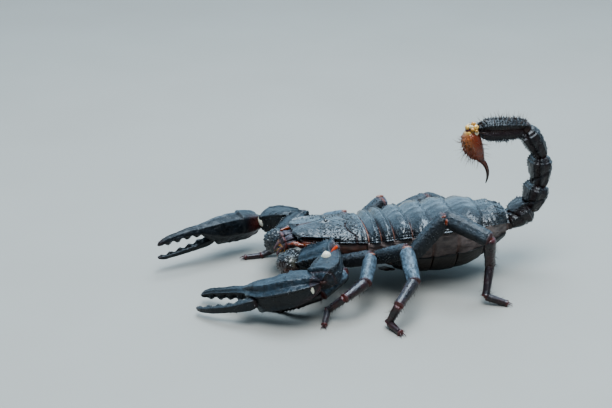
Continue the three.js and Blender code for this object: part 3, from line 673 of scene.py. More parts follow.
def dress_tergite(grid, t, length, number):
    """A pillow with a beaded rear rim, grained flanks, and four keels on the last plate."""
    x = np.abs(grid[..., 0])
    from_side, from_rear, from_front = from_edge(PLATE_COLUMNS, 0.135), (1 - t) * length, t * length
    flank, last = fade(x / x.max(), 0.62, 0.86), float(number == len(TERGITE_LENGTHS))
    relief = -0.62 + 0.9 * fade(t, -0.05, 0.6) + 0.22 * (1 - (2 * t - 1) ** 2)
    relief = relief - 0.2 * hump(from_rear, 0.66, 0.18) + 0.14 * hump(from_rear, 0.3, 0.18)
    relief = relief - 0.1 * hump(from_side, 0.95, 0.22) + 0.16 * hump(from_side, 0.4, 0.24)
    relief += 0.07 * hump(x, 0, 0.5) + 0.08 * hump(x, 2.6, 1.0) * fade(t, 0.2, 0.6)
    relief += 0.09 * uneven(grid, 1.7, 10 + number) - 0.12 * hump(from_side, 1.75, 0.3) * fade(t, 0.1, 0.4)
    relief += 0.24 * uneven(grid * [0.7, 1.7, 0.5], 0.8, 20 + number) * flank
    keel = hump(x, 1.9, 0.22) * fade(t, 0.3, 0.5) + hump(x, 4.4, 0.25) * fade(t, 0.25, 0.4)
    relief += last * keel * (0.2 + 0.18 * grains(grid, 0.5, 30))
    grained = (1.0 if number > 5 else 0.25) * flank + 0.8 * last + 0.4 * hump(from_rear, 0.9, 0.4)
    grained = np.clip(grained, 0, 1) * fade(from_front, 0.1, 0.7)
    relief += grained * (0.075 * grains(grid, 0.36, 40 + number) + 0.05 * grains(grid, 0.6, 50 + number))
    relief += edge_drop(from_rear, 0.28) + edge_drop(from_side, 0.3)
    warm = 0.55 * hump(from_rear, 0, 0.13) + 0.3 * hump(from_front, 0, 0.2)
    warm = warm + 0.25 * hump(from_side, 0, 0.2)
    # Painted sheen: a faint blue-grey sheen everywhere, stronger on faces that look up.
    painted_sheen = 0.05 + 0.35 * facing_up(grid, 0.75, 0.98, wrap=False)
    return relief, {"warm": warm, "rough": 0.8 * grained, "painted_sheen": painted_sheen}


def make_tergite(number, start, length):
    """A back plate, which leaves half a gap at both ends."""
    t = np.linspace(0, 1, int(length / 0.14))[:, None]
    y = start + GAP / 2 + t * (length - GAP)
    angle = np.linspace(TERGITE_EDGE, 180 - TERGITE_EDGE, PLATE_COLUMNS)[None, :]
    outer, inner = trunk_surface(y, angle), trunk_surface(y, angle, PLATE_THICKNESS + 0.3 * (1 - t))
    make_plate(f"back_plate_{number}", outer, inner, dress_tergite(outer, t, length, number), SHELL["black"],
               f"tergite_{number}")


for number, (start, length) in enumerate(zip(TERGITE_STARTS, TERGITE_LENGTHS), 1):
    make_tergite(number, start, length)
count("back_plate")

# %% [markdown]
# ## Soft flanks
# With a full belly the back and belly plates stand far apart, and brown skin shows
# between them. It bulges a little in each segment, tucks in at the seams, and is
# creased lengthwise. The same skin shows as orange-brown lines between the back
# plates. One closed body under all the plates gives both.

# %% Flank skin
SEAMS = np.array([*TERGITE_STARTS, TRUNK_END])
FLANK_EDGE = 28


def seam_closeness(y, width):
    """1 on the line between two segments, 0 away from it."""
    return np.exp(-((np.abs(y[..., None] - SEAMS).min(-1) / width) ** 2))


def make_flanks():
    """One closed body under the plates, drawn in at the seams and creased along its sides."""
    flank = np.linspace(-FLANK_EDGE, 13, 62)
    back = np.linspace(13, 167, 70)[1:-1]
    belly = np.linspace(180 + FLANK_EDGE, 360 - FLANK_EDGE, 40)[1:-1]
    angle = np.concatenate([flank, back, 180 - flank[::-1], belly])[None, :]
    y = np.linspace(TRUNK_START - 0.3, TRUNK_END + 0.3, 240)[:, None]
    side = np.where((angle > 90) & (angle < 270), 180 - angle, angle)
    on_flank = fade(side, -FLANK_EDGE - 3, -FLANK_EDGE + 2) * (1 - fade(side, 8, 14))
    y, on_flank, on_back = np.broadcast_arrays(y, on_flank, fade(side, 9, 16))
    seam = seam_closeness(y, 0.35)
    base = trunk_surface(y, angle, 0.25 * on_flank + (1 - on_flank) * (1.0 - 0.45 * seam * on_back))
    creases = uneven(base * [1, 0.16, 1], 0.42, 60) + 0.6 * uneven(base * [1, 0.3, 1], 0.2, 61)
    relief = on_flank * (0.13 * creases + 0.2 * uneven(base * [1, 0.6, 1], 1.6, 62) - 0.4 * seam)
    relief += on_flank * 0.14 * hump(side, -9, 6)
    warm = 0.6 * on_back * seam_closeness(y, 0.6) + on_flank * (0.2 * seam + 0.1 * fade(-y, -22, -17))
    # Pale skin near the plates, darker toward the belly: the pale pleura are real, the darkening below is
    # painted shade.
    marks = {"warm": warm, "pale": (0.5 + 0.25 * creases) * on_flank * fade(side, -16, 2)}
    make_piece("flank_skin_body", [(raised(base, relief), marks)], FLANK_SKIN, ["abdomen"])


make_flanks()
count("flank_skin")

# %% [markdown]
# ## Belly plates
# Five dark plates close the belly. They are finely scored across their length and
# divided by narrow folds. The first four have a slit on each side that opens to the
# breathing organs.

# %% Belly plates
BELLY_EDGE = 21
BELLY_THICKNESS = 0.75
BELLY_COLUMNS = 150


def dress_belly(grid, t, y, length, middle, number):
    """Fine scores across, round edges, and a breathing slit on each side but the last."""
    from_side, from_rear, from_front = from_edge(BELLY_COLUMNS, 0.15), (1 - t) * length, t * length
    relief = -0.12 + 0.2 * fade(t, 0, 0.5) + 0.035 * uneven(grid * [1, 0.12, 1], 0.35, 70 + number)
    relief = relief + 0.07 * uneven(grid, 2.5, 80 + number)
    relief = relief + edge_drop(from_rear, 0.3) + edge_drop(from_side, 0.3) + 0.5 * edge_drop(from_front, 0.3)
    x, back = np.abs(grid[..., 0]), y - middle - 0.3
    from_slit = x - 0.56 * x.max()
    slit = (number < 7) * hump(from_slit, 0, 0.75) * hump(back, 0, 0.16)
    lip = (number < 7) * hump(from_slit, 0, 0.95) * hump(back, 0, 0.42)
    return relief + 0.12 * lip - 0.5 * slit, {"warm": 0.7 * hump(from_rear, 0, 0.3) + 0.4 * slit}


def make_belly_plate(number, start, end):
    t = np.linspace(0, 1, int((end - start) / 0.17))[:, None]
    y = start + 0.1 + t * (end - start - 0.2)
    angle = np.linspace(180 + BELLY_EDGE, 360 - BELLY_EDGE, BELLY_COLUMNS)[None, :]
    outer, inner = trunk_surface(y, angle), trunk_surface(y, angle, BELLY_THICKNESS)
    dress = dress_belly(outer, t, y, end - start, (start + end) / 2, number)
    make_plate(f"belly_plate_{number}", outer, inner, dress, SHELL["belly"], "sternites")


belly_lines = [TERGITE_STARTS[2] + 1.2, *TERGITE_STARTS[3:], TRUNK_END - GAP]
for number, (start, end) in enumerate(zip(belly_lines, belly_lines[1:]), 3):
    make_belly_plate(number, start, end)
count("belly_plate")

# %% [markdown]
# ## Frames of limb parts
# Each limb part points along a yaw and a pitch: yaw 0 is straight out to its own
# side, +90 to the tail, -90 ahead. From those come three axes: along the part,
# across it, and out of its back. A part's grid is drawn round this frame, so keels
# and joints fall in the same place on every leg, however it is posed.

# %% Limb frames


def limb_axes(yaw, pitch, sign=1):
    """Unit vectors along a part, across it, and out of its back."""
    (ahead, aside), (level, rise) = circle(yaw), circle(pitch)
    along = np.array([sign * ahead * level, aside * level, rise])
    across = np.array([-sign * aside, ahead, 0.0])
    return along, across, np.cross(along, across) * sign


def round_ends(t, start, end):
    """1 in the middle and rounding to nearly 0 over the first and last share."""
    full = 1.0
    for distance, share in ((t, start), (1 - t, end)):
        full = full * np.sqrt(np.clip(1 - (1 - np.clip(distance / share, 0, 1)) ** 2, 0, 1))
    return np.maximum(full, 0.02)


def even_steps(count, crowd=0.5):
    """Places from 0 to 1 that crowd toward both ends, where a part rounds off."""
    s = np.linspace(0, 1, count)
    return s - crowd * np.sin(2 * np.pi * s) / (2 * np.pi)


def steps_and_turns(steps, columns):
    """Two grids: each point's share of the way along, and its degrees round the part."""
    return np.broadcast_arrays(steps[:, None], (np.arange(columns) * 360 / columns)[None, :])


print("frame of a part pointing straight out:", limb_axes(0, 0)[0])

# %% Places round a part


def away(phi, angle):
    """Degrees between two directions round a part, 0 to 180."""
    return np.abs((phi - angle + 180) % 360 - 180)


def keels(phi, angles, width=9):
    """Ridges of height 1 at some directions round a part."""
    return sum(np.exp(-((away(phi, angle) / width) ** 2)) for angle in angles)


def between(phi, low, high, soft=12):
    """1 where a direction lies between two angles, fading over soft degrees."""
    middle, half = (low + high) / 2, (high - low) / 2
    return 1 - fade(away(phi, middle), half - soft / 2, half + soft / 2)


def faceted(phi, corners, reach=1.13, flat=0.85):
    """How far out a section lies: flat faces that meet in keels at some angles."""
    corners = np.sort(np.array(corners) % 360)
    after = np.searchsorted(corners, phi % 360) % len(corners)
    span = (corners[after] - corners[after - 1]) % 360
    from_middle = away(phi, corners[after] - span / 2)
    chord = np.cos(np.radians(span / 2)) / np.cos(np.radians(np.minimum(from_middle, 80)))
    return reach * (1 - flat * (1 - np.clip(chord, 0.6, 1)))


print("a square section reaches", np.round(faceted(np.array([0, 45]), (45, 135, 225, 315)), 2))

# %% Limb parts


def set_round(middle, axes, wide, deep):
    """Points beside a middle line: so far across it and so far out of its back."""
    return middle + wide[..., None] * axes[1] + deep[..., None] * axes[2]


def limb_part(start, axes, size, shape, dress, ends=(0.1, 0.1), cell=0.2, squareness=2.2, corners=None,
              flat=0.85):
    """A closed grid for one limb part, dressed with its own relief and marks."""
    length, width, depth = size
    columns = max(20, int(math.pi * (width + depth) / 2 / cell))
    t, phi = steps_and_turns(even_steps(max(14, int(length / cell))), columns)
    full = smooth_curve(shape, t) * round_ends(t, *ends)
    if corners is None:
        out, up = (squared(value, squareness) for value in circle(phi))
    else:
        out, up = (faceted(phi, corners, flat=flat) * value for value in circle(phi))
    middle = np.asarray(start) + (t * length)[..., None] * axes[0]
    grid = set_round(middle, axes, full * width / 2 * out, full * depth / 2 * up)
    relief, marks = dress(grid, t, phi)
    return raised(grid, relief * round_ends(t, 0.04, 0.04)), marks


print("a limb part is a grid that its own dress function raises and marks")

# %% [markdown]
# ## Legs
# A walking leg is a chain: a short trochanter, a deep flat thigh with grained
# edges, a smooth shining patella, and a slim brown foot of three parts that ends in
# two claws. The joints show ruddy rims. Sizes differ from leg to leg, the build
# does not, so one function makes all eight.

# %% Leg sizes and poses
LEG_TAPER = {"trochanter": 0.95, "femur": 1, "patella": 1, "tibia": 0.74, "basitarsus": 0.56, "tarsus": 0.46}
SOLE_HEIGHT = 0.6
KNEE_LAP = 0.13
LEG_ROOTS = [(5.6, 4.3, 7.5), (5.4, 7.2, 7.4), (7.0, 15.0, 7.8), (8.8, 21.8, 8.4)]
# For each leg the lengths of its six parts from the body outward, and its girth.
LEG_SIZES = [
    (2.4, 7.4, 7.6, 6.0, 4.2, 4.0, 2.7),
    (2.6, 8.2, 8.4, 6.9, 5.0, 4.2, 2.9),
    (3.2, 9.0, 9.0, 7.5, 5.1, 4.6, 3.2),
    (4.2, 11.9, 10.9, 7.6, 7.2, 5.0, 3.5),
]
# For each leg the yaw and pitch of the same six. The last has only a yaw, because its
# toe stands on the floor.
LEG_POSES = {
    "left": [
        [(10, -14), (40, 4), (-56, -20), (-100, -24), (-125, -25), -120],
        [(45, 5), (60, 16), (-22, -18.6), (-56, -13), (-118, -42), -22],
        [(45, 18), (44, 24), (-4, -25), (-43, -22.5), (-139, -64), 18],
        [(46, 12), (90, 49), (49, -16), (150, -68), (-29, -61), 68],
    ],
    "right": [
        [(30, -14), (50, 4), (-50, -22), (-95, -25), (-92, -21), -96],
        [(45, 5), (58, 24), (-20, -22), (-50, -28), (-110, -52), -30],
        [(45, 18), (72, 35), (4, -34), (-30, -35), (-80, -50), 15],
        [(45, 10), (78, 18), (42, -24), (70, -42), (10, -18), 68],
    ],
}


def leg_chain(side, number):
    """Start, axes and size of every part of a leg, from the body to the toe."""
    sign, headings = SIDES[side], LEG_POSES[side][number - 1]
    *lengths, thickness = LEG_SIZES[number - 1]
    start, chain = np.array(LEG_ROOTS[number - 1]) * [sign, 1, 1], {}
    for (name, taper), length, heading in zip(LEG_TAPER.items(), lengths, headings):
        if name == "tarsus":
            heading = heading, -math.degrees(math.asin((start[2] - SOLE_HEIGHT) / length))
        axes, girth = limb_axes(*heading, sign), thickness * taper
        chain[name] = {"start": start, "axes": axes, "size": (length, girth, girth)}
        start = start + axes[0] * length
    chain["toe"] = start
    return chain


print("left leg 4's toe stands at", np.round(leg_chain("left", 4)["toe"], 1))

# %% Leg part surfaces
THIGH_SHAPE = [(0, 0.6), (0.1, 0.84), (0.3, 1.0), (0.7, 1.06), (0.88, 1.02), (0.96, 0.95), (1, 0.75)]
PATELLA_SHAPE = [(0, 0.78), (0.08, 0.98), (0.3, 1.08), (0.6, 1.04), (0.85, 0.98), (0.95, 0.95), (1, 0.72)]
SHIN_SHAPE = [(0, 0.85), (0.12, 1.12), (0.4, 1.05), (0.75, 0.92), (0.93, 0.94), (1, 0.75)]
FOOT_SHAPE = [(0, 0.8), (0.12, 1.05), (0.5, 0.95), (0.8, 0.88), (0.93, 1.0), (1, 0.8)]
LONG_PATELLA = 11


def joint_marks(t, length, reach=0.3):
    """Ruddy rims at both ends of a part, reach millimetres long."""
    return hump(t * length, 0.15, reach) + hump((1 - t) * length, 0.2, reach)


def end_lips(t, length):
    """A groove and a raised lip just before a part's far end."""
    from_end = (1 - t) * length
    return 0.07 * hump(from_end, 0.35, 0.16) - 0.07 * hump(from_end, 0.75, 0.18)


def dress_thigh(grid, t, phi, length, seed):
    """Grained edges above and below, and dull sides."""
    edges = keels(phi, (90, 270, 62, 118), 8)
    relief = edges * (0.05 + 0.12 * grains(grid, 0.34, seed)) + 0.035 * grains(grid, 0.42, seed + 1)
    relief += 0.06 * uneven(grid, 1.2, seed + 2) + end_lips(t, length)
    warm = 0.7 * joint_marks(t, length, 0.35)
    # Painted sheen on faces that look up.
    return relief, {"warm": warm, "rough": 0.7, "hairy": 0.5 * edges, "painted_sheen": 0.3 * facing_up(grid)}


def dress_patella(grid, t, phi, length, seed):
    """Smooth, with painted blue-grey sheen, and a flute beside each upper keel."""
    edges = keels(phi, (100, 80, 255), 10)
    flutes = hump(away(phi, 30), 0, 18) + hump(away(phi, 150), 0, 18)
    relief = 0.14 * edges - 0.16 * flutes * round_ends(t, 0.3, 0.3) + 0.07 * keels(phi, (0, 180), 8)
    relief += 0.05 * uneven(grid, 1.5, seed) + end_lips(t, length)
    relief += 0.03 * grains(grid, 0.35, seed + 3) * edges
    # Painted sheen: faces that look up or sideways are lighter, less so on the long hind patella.
    painted_sheen = facing_up(grid, -0.25, 0.35) * (0.2 if length > LONG_PATELLA else 1.0)
    warm = 0.8 * joint_marks(t, length)
    return relief, {"warm": warm, "rough": 0.25, "hairy": 0.35 * edges, "painted_sheen": painted_sheen}


def dress_foot(grid, t, phi, length, seed):
    """Three low keels, cloudy brown, hairy all round but for the sole."""
    relief = 0.05 * keels(phi, (90, 240, 300), 12) + 0.04 * uneven(grid, 0.8, seed) + end_lips(t, length)
    warm = 0.06 + 0.2 * uneven(grid, 1.3, seed + 5) + 0.6 * joint_marks(t, length)
    return relief, {"warm": warm, "hairy": 0.7 * (1 - keels(phi, (270,), 34))}


print("lips at the end of a part 8 mm long:", np.round(end_lips(np.array([0.9, 0.95, 1.0]), 8), 3))

# %% Legs


def tarsal_claws(chain):
    """Two curved claws and a spur between them; the tips lie on the floor."""
    along = unit(chain["tarsus"]["axes"][0] * [1, 1, 0])
    across = np.array([-along[1], along[0], 0.0])
    t = np.linspace(0, 1, 12)[:, None, None]
    aside, upward = (value[None, :, None] for value in circle(np.arange(10) * 36))
    claws = []
    for spread_out, reach in ((-1, 1.5), (1, 1.5), (0, 0.7)):
        centre = chain["toe"] + along * (reach * t - 0.3) + across * spread_out * (0.18 + 0.42 * t)
        height = 0.62 - 0.44 * t**1.6 + 0.18 * np.sin(np.pi * t)
        centre = centre * [1, 1, 0] + height * (0, 0, 1.0)
        radius = 0.19 * (1 - 0.8 * t**1.3)
        claws.append((centre + radius * (aside * across + upward * [0, 0, 1]), {"warm": 0.4}))
    return claws


def make_leg(side, number):
    """A leg in three pieces; every part reaches a little into its neighbours."""
    chain, seed = leg_chain(side, number), 100 + number * 10 + (side == "left")

    def part(name, shape, dress, ends=(0.08, 0.06), squareness=2.2):
        start, axes, (length, width, depth) = chain[name].values()
        lap = KNEE_LAP * depth
        length += 2 * lap
        start, size = start - axes[0] * lap, (length, width, depth)
        dress = partial(dress, length=length, seed=seed)
        return limb_part(start, axes, size, shape, dress, ends, squareness=squareness)

    name = f"leg_{side}_{number}"
    thigh = [part("trochanter", PATELLA_SHAPE, dress_thigh, (0.2, 0.2)),
             part("femur", THIGH_SHAPE, dress_thigh, squareness=2.4)]
    lower = [part("tibia", SHIN_SHAPE, dress_foot), part("basitarsus", FOOT_SHAPE, dress_foot),
             part("tarsus", FOOT_SHAPE, dress_foot), *tarsal_claws(chain)]
    make_piece(f"{name}_thigh", thigh, SHELL["leg"], [f"{name}_femur"])
    make_piece(f"{name}_shin_guard", [part("patella", PATELLA_SHAPE, dress_patella)], SHELL["leg"],
               [f"{name}_patella"])
    make_piece(f"{name}_lower", lower, SHELL["foot"], [f"{name}_foot"])


LEGS = [(side, number) for side in SIDES for number in (1, 2, 3, 4)]
for side, number in LEGS:
    make_leg(side, number)
count("leg_")

# %% [markdown]
# ## Chest and coxae
# Under the head shield lie the coxae, the legs' flat root plates, packed round a
# small breast plate. A soft-cornered core fills the room between them and the
# shield, so that no gap shows from in front or from below.

# %% Chest
CHEST_START, CHEST_END = 1.6, 21.5
CHEST_HALF_WIDTH = [(1.6, 3.2), (6, 5.4), (14, 6.6), (17, 6.4), (19, 4.4), (21.5, 3.2)]
CHEST_ROOF = [(1.6, 11.6), (9, 11.0), (15, 10.4), (19, 8.0), (21.5, 5.6)]
BREAST_SHAPE = [(0, 0.4), (0.35, 0.85), (0.8, 1.0), (1, 0.8)]


def dress_coxa(grid, t, phi, length, seed):
    relief = 0.06 * uneven(grid, 1.2, seed) + 0.05 * grains(grid, 0.4, seed + 1) + end_lips(t, length)
    warm = np.clip(0.55 + 0.4 * uneven(grid, 1.5, seed + 2), 0, 1)
    return relief, {"warm": warm, "rough": 0.4, "hairy": 0.4}


def coxa_grid(side, number):
    """A root plate from near the midline to the start of its leg."""
    sign, root = SIDES[side], leg_chain(side, number)["trochanter"]
    inner = np.array([sign * 1.2, 6.5 + 3.0 * number, root["start"][2] - 0.4])
    reach = root["start"] - inner
    span = np.linalg.norm(reach)
    yaw = math.degrees(math.atan2(reach[1], sign * reach[0]))
    pitch = math.degrees(math.asin(reach[2] / span))
    length, girth = span + 0.7, root["size"][2] + 0.6
    return limb_part(inner, limb_axes(yaw, pitch, sign), (length, girth, girth * 0.92), PATELLA_SHAPE,
                     partial(dress_coxa, length=length, seed=200 + number), (0.15, 0.1), 0.22, 2.4)


def chest_core():
    """The body between the coxae: it fills the shield from below and narrows behind."""
    t, phi = steps_and_turns(even_steps(60), 80)
    y = CHEST_START + t * (CHEST_END - CHEST_START)
    floor, roof = smooth_curve(TRUNK_ROWS["belly"], y) + 0.4, smooth_curve(CHEST_ROOF, y)
    out, up = (round_ends(t, 0.06, 0.08) * squared(value, 2.6) for value in circle(phi))
    x, z = out * smooth_curve(CHEST_HALF_WIDTH, y), (floor + roof) / 2 + up * (roof - floor) / 2
    grid = np.stack([x, y, z], -1)
    relief = 0.1 * uneven(grid, 1.4, 210) + 0.04 * grains(grid, 0.5, 211)
    return raised(grid, relief), {"warm": 0.4 + 0.3 * uneven(grid, 2, 212)}


def breast_plate(start, length, width):
    """The five-sided sternum, or the genital lid behind it, low on the midline."""
    z = smooth_curve(TRUNK_ROWS["belly"], np.array([start + length / 2]))[0] + 0.6
    axes = (np.array([0, 1.0, -0.18]), np.array([1.0, 0, 0]), np.array([0, 0, 1.0]))
    return limb_part((0, start, z), axes, (length, width, 0.9), BREAST_SHAPE,
                     partial(dress_coxa, length=length, seed=215), (0.12, 0.12), 0.15, 3)


chest = [chest_core(), breast_plate(14.6, 2.9, 2.6), breast_plate(18.0, 1.9, 3.0)]
chest += [coxa_grid(side, number) for side, number in LEGS]
make_piece("chest_and_coxae", chest, SHELL["brown"], ["coxosternum"])
count("chest")

# %% [markdown]
# ## Claw arms
# The arms that carry the claws have flat faces between dark keels. The upper faces
# are smooth and carry a painted blue-grey sheen, while the lower and front faces are
# black and grained. So each section is a polygon with soft corners, and the keels
# stand at those corners.

# %% Claw arm sizes and poses
ARM_SIZES = {"trochanter": (5.0, 4.8, 4.8), "femur": (11.4, 5.4, 5.2), "patella": (12.2, 5.8, 5.4)}
ARM_POSES = {
    "left": {"root": (4.4, 1.6, 8.6), "trochanter": (-52, -10), "femur": (61, 24),
             "patella": (-28, -14), "hand": (-119, -15.8), "roll": 8, "open": 4.5, "bow": 2.2},
    "right": {"root": (4.4, 1.0, 8.6), "trochanter": (-48, -10), "femur": (46, 15),
              "patella": (-46, -19), "hand": (-112.6, -2.6), "roll": 65, "open": 2.2, "bow": -0.8},
}
ELBOW_OVERLAP = 1.2


def arm_chain(side):
    """Start and axes of every part of a claw arm."""
    sign, pose = SIDES[side], ARM_POSES[side]
    start, chain = np.array(pose["root"]) * [sign, 1, 1], {}
    for name, (length, _, _) in ARM_SIZES.items():
        axes = limb_axes(*pose[name], sign)
        chain[name] = {"start": start, "axes": axes}
        start = start + axes[0] * (length - (ELBOW_OVERLAP if name == "trochanter" else 0))
    along, across, _ = limb_axes(*pose["hand"], sign)
    out = across * np.sign(across[0] * sign)
    up = np.cross(along, out)
    up *= np.sign(up[2])
    level, turned = circle(pose["roll"])
    chain["hand"] = {"start": start, "axes": (along, out * level - up * turned, up * level + out * turned)}
    return chain


print("the left wrist is at", np.round(arm_chain("left")["hand"]["start"], 1))

# %% Claw arm surfaces
ROUND_SHAPE = [(0, 0.6), (0.25, 0.95), (0.7, 1.02), (1, 0.62)]
ARM_SHAPE = [(0, 0.6), (0.08, 0.82), (0.25, 0.95), (0.55, 1.02), (0.82, 1.0), (0.94, 0.9), (1, 0.68)]
FOREARM_SHAPE = [
    (0, 0.42), (0.08, 0.5), (0.22, 0.66), (0.42, 0.88), (0.7, 1.06), (0.86, 1.03), (0.95, 0.9), (1, 0.68),
]
ARM_KEELS = (42, 176, 228, 318)
FOREARM_KEELS = (44, 150, 225, 270, 345)


def dress_shoulder(grid, t, phi, length, seed):
    """Lumpy and dull, with a smooth paler patch on top and a ruddy front."""
    relief = 0.24 * grains(grid, 0.7, seed) + 0.09 * grains(grid, 0.36, seed + 1)
    relief += 0.16 * uneven(grid, 1.5, seed + 2)
    patch = between(phi, 0, 62, 26) * hump(t, 0.74, 0.15)
    warm = 0.9 * between(phi, -75, 5, 40) * fade(t, 0.3, 0.7) + 0.3 * fade(t, 0.88, 0.97)
    marks = {"warm": warm, "pale": 0.12 * patch, "rough": 0.9 * (1 - patch), "hairy": 0.4, "painted_sheen": 0.0}
    return relief * (1 - 0.8 * patch), marks


def dress_upper_arm(grid, t, phi, length, seed):
    """A hollowed smooth top between toothed keels, and grained sides."""
    top = between(phi, ARM_KEELS[0], ARM_KEELS[1])
    relief = keels(phi, ARM_KEELS, 7) * (0.1 + 0.22 * grains(grid, 0.6, seed))
    relief += 0.08 * uneven(grid, 1.6, seed + 1)
    relief += (1 - top) * (0.1 * grains(grid, 0.5, seed + 2) + 0.05 * grains(grid, 0.32, seed + 3))
    relief += 0.05 * uneven(grid, 0.6, seed + 4) - 0.12 * top * hump(away(phi, 105), 0, 30)
    from_end = (1 - t) * length
    relief += 0.16 * hump(from_end, 0.75, 0.3) - 0.14 * hump(from_end, 1.5, 0.35)
    warm = 0.7 * hump(from_end, 0.2, 0.35) + 0.35 * between(phi, 250, 320, 30)
    # Painted sheen on the smooth top face.
    return relief, {"warm": warm, "rough": 0.6 * (1 - top), "hairy": 0.35 * (1 - top), "painted_sheen": top}


def dress_forearm(grid, t, phi, length, seed):
    """A broad smooth face, a bowed keel beside it, and a hollow behind the keel."""
    bow = phi + 30 * np.sin(np.pi * t) - 12
    face = between(bow, 62, 152, 10)
    relief = 0.34 * keels(bow, (60,), 6) * fade(t, 0.04, 0.15) + 0.16 * keels(phi, (152, 225, 345), 6)
    relief -= 0.3 * keels(bow, (38,), 12) * round_ends(t, 0.3, 0.3) + 0.12 * face * hump(bow, 105, 30)
    relief += 0.1 * uneven(grid, 1.9, seed) + 0.04 * uneven(grid, 0.7, seed + 1)
    relief += 0.34 * hump(t, 0.83, 0.035) * between(phi, 60, 170, 30) - 0.34 * hump(t, 0.895, 0.03)
    relief -= 1.5 * (1 - fade(t, 0.02, 0.42)) * between(phi, 110, 250, 70)
    relief += 0.05 * (1 - face) * grains(grid, 0.5, seed + 2)
    warm = 0.35 * hump(t, 0.9, 0.02) + 0.3 * hump((1 - t) * length, 0.1, 0.3)
    # Painted sheen on the broad face and along one keel.
    return relief, {"warm": warm, "rough": 0.3 * (1 - face), "hairy": 0.25 * between(phi, 170, 390, 20),
                    "painted_sheen": face + 0.6 * keels(bow, (10,), 14)}


print("the upper arm's keels stand at", ARM_KEELS, "degrees")

# %% Claw arms
# Each part's name, shape, corners, flatness, rounding of its ends, finish, and own dress.
ARM_PARTS = {
    "trochanter": ("shoulder", ROUND_SHAPE, None, 0.8, (0.14, 0.1), SHELL["black"], dress_shoulder),
    "femur": ("upper_arm", ARM_SHAPE, ARM_KEELS, 0.8, (0.14, 0.1), SHELL["claw"], dress_upper_arm),
    "patella": ("forearm", FOREARM_SHAPE, FOREARM_KEELS, 0.6, (0.16, 0.14), SHELL["claw"], dress_forearm),
}
ELBOW_SHOW = 2.0
# How much painted sheen each arm gets.
SHEEN_BY_SIDE = {"left": 1.0, "right": 0.35}


def make_arm_part(side, node_name):
    """The round shoulder reaches past the elbow, so the upper arm starts a little later."""
    link, (length, width, depth) = arm_chain(side)[node_name], ARM_SIZES[node_name]
    name, shape, corners, flat, ends, finish, dress = ARM_PARTS[node_name]
    start, along = link["start"], link["axes"][0]
    if name == "shoulder":
        start, length, width, depth = start + along * 0.4, length + 0.9, width * 1.02, depth * 1.02
    if name == "upper_arm":
        start, length = start + along * ELBOW_SHOW, length - ELBOW_SHOW
    dress = partial(dress, length=length, seed=300 + (side == "left"))
    size = (length, width, depth)
    grid, marks = limb_part(start, link["axes"], size, shape, dress, ends, 0.15, corners=corners, flat=flat)
    marks["painted_sheen"] = marks["painted_sheen"] * SHEEN_BY_SIDE[side]
    make_piece(f"arm_{side}_{name}", [(grid, marks)], finish, [f"pedipalp_{side}_{node_name}"])


for side in SIDES:
    for node_name in ARM_PARTS:
        make_arm_part(side, node_name)
count("arm_")

# %% [markdown]
# ## Claws
# A claw is a swollen hand that runs out into a fixed finger, and a movable finger
# hinged on its outer side. Both come from rows of places, offsets and half sizes.
# Two keels part the back of the hand, which carries painted pale sheen, from its
# black outer face. The facing edges of the fingers swell and sink in scallops and
# carry a row of teeth.

# %% Claw rows
# Each row: the place along the claw, how far out its middle lies, half its width, half its depth.
HAND_ROWS = np.array([
    (0.0, 0.0, 1.7, 1.7), (1.4, 0.2, 2.9, 2.3), (4.5, 0.2, 3.9, 3.1), (8.5, 0.0, 4.2, 3.3),
    (12.5, -0.5, 3.7, 3.0), (15.2, -1.4, 2.5, 2.4), (17.5, -2.35, 1.35, 1.6), (21.5, -2.95, 1.05, 1.25),
    (25.5, -3.0, 0.9, 1.0), (27.9, -2.6, 0.65, 0.7), (29.0, -2.2, 0.3, 0.3),
])
FINGER_ROWS = np.array([
    (13.0, 2.0, 1.0, 1.0), (14.8, 2.5, 1.3, 1.35), (17.0, 2.95, 1.1, 1.15), (20.0, 3.2, 0.85, 0.9),
    (23.5, 3.15, 0.7, 0.75), (26.0, 2.85, 0.62, 0.62), (27.4, 2.5, 0.42, 0.45), (28.2, 2.1, 0.2, 0.22),
])
CLAW_LENGTH = 29.0
CLAW_CELL = 0.15
SCALLOPS = 2.5
HAND_KEELS = (325, 28, 64, 140, 200, 262)
FINGER_KEELS = (45, 135, 225, 315)
HAND_SLIM = {"left": (1, 1, 1, 1), "right": (1, 0.9, 0.8, 0.82)}
RUDDY = {"left": 0.5, "right": 0.95}


def claw_part(rows, start, axes, opened, bow, dress, corners):
    """A hand or a finger: a faceted section that follows its rows along a bowed line."""
    first, length = rows[0, 0], rows[-1, 0] - rows[0, 0]
    columns = int(2 * math.pi * rows[:, 2].max() / CLAW_CELL * 0.8)
    t, phi = steps_and_turns(even_steps(int(length / CLAW_CELL), 0.35), columns)
    place = first + t * length
    out, wide, deep = (smooth_curve(rows[:, [0, k]], place) for k in (1, 2, 3))
    out = out + bow * np.sin(np.pi * place / CLAW_LENGTH) + t * length * math.tan(math.radians(opened))
    middle = start + place[..., None] * axes[0] + out[..., None] * axes[1]
    reach, (aside, upward) = faceted(phi, corners, 1.1, 0.8) * round_ends(t, 0.05, 0.02), circle(phi)
    grid = set_round(middle, axes, wide * reach * aside, deep * reach * upward)
    relief, marks = dress(grid, place, phi)
    return raised(grid, relief * round_ends(t, 0.03, 0.03)), marks


def facing_edge(place, phi, toward, first):
    """Scallops and a thin cutting edge on the side of a finger that meets the other."""
    edge = keels(phi, (toward,), 30) * fade(place, first, first + 1.5) * (1 - fade(place, 26.5, 28.5))
    wave = 0.34 * np.cos(2 * np.pi * (place - first) / SCALLOPS + (1.9 if toward > 90 else 0))
    return edge * (wave + 0.05 - 0.012 * (place - first))


print("the left claw opens", ARM_POSES["left"]["open"], "degrees")

# %% Hands and fingers


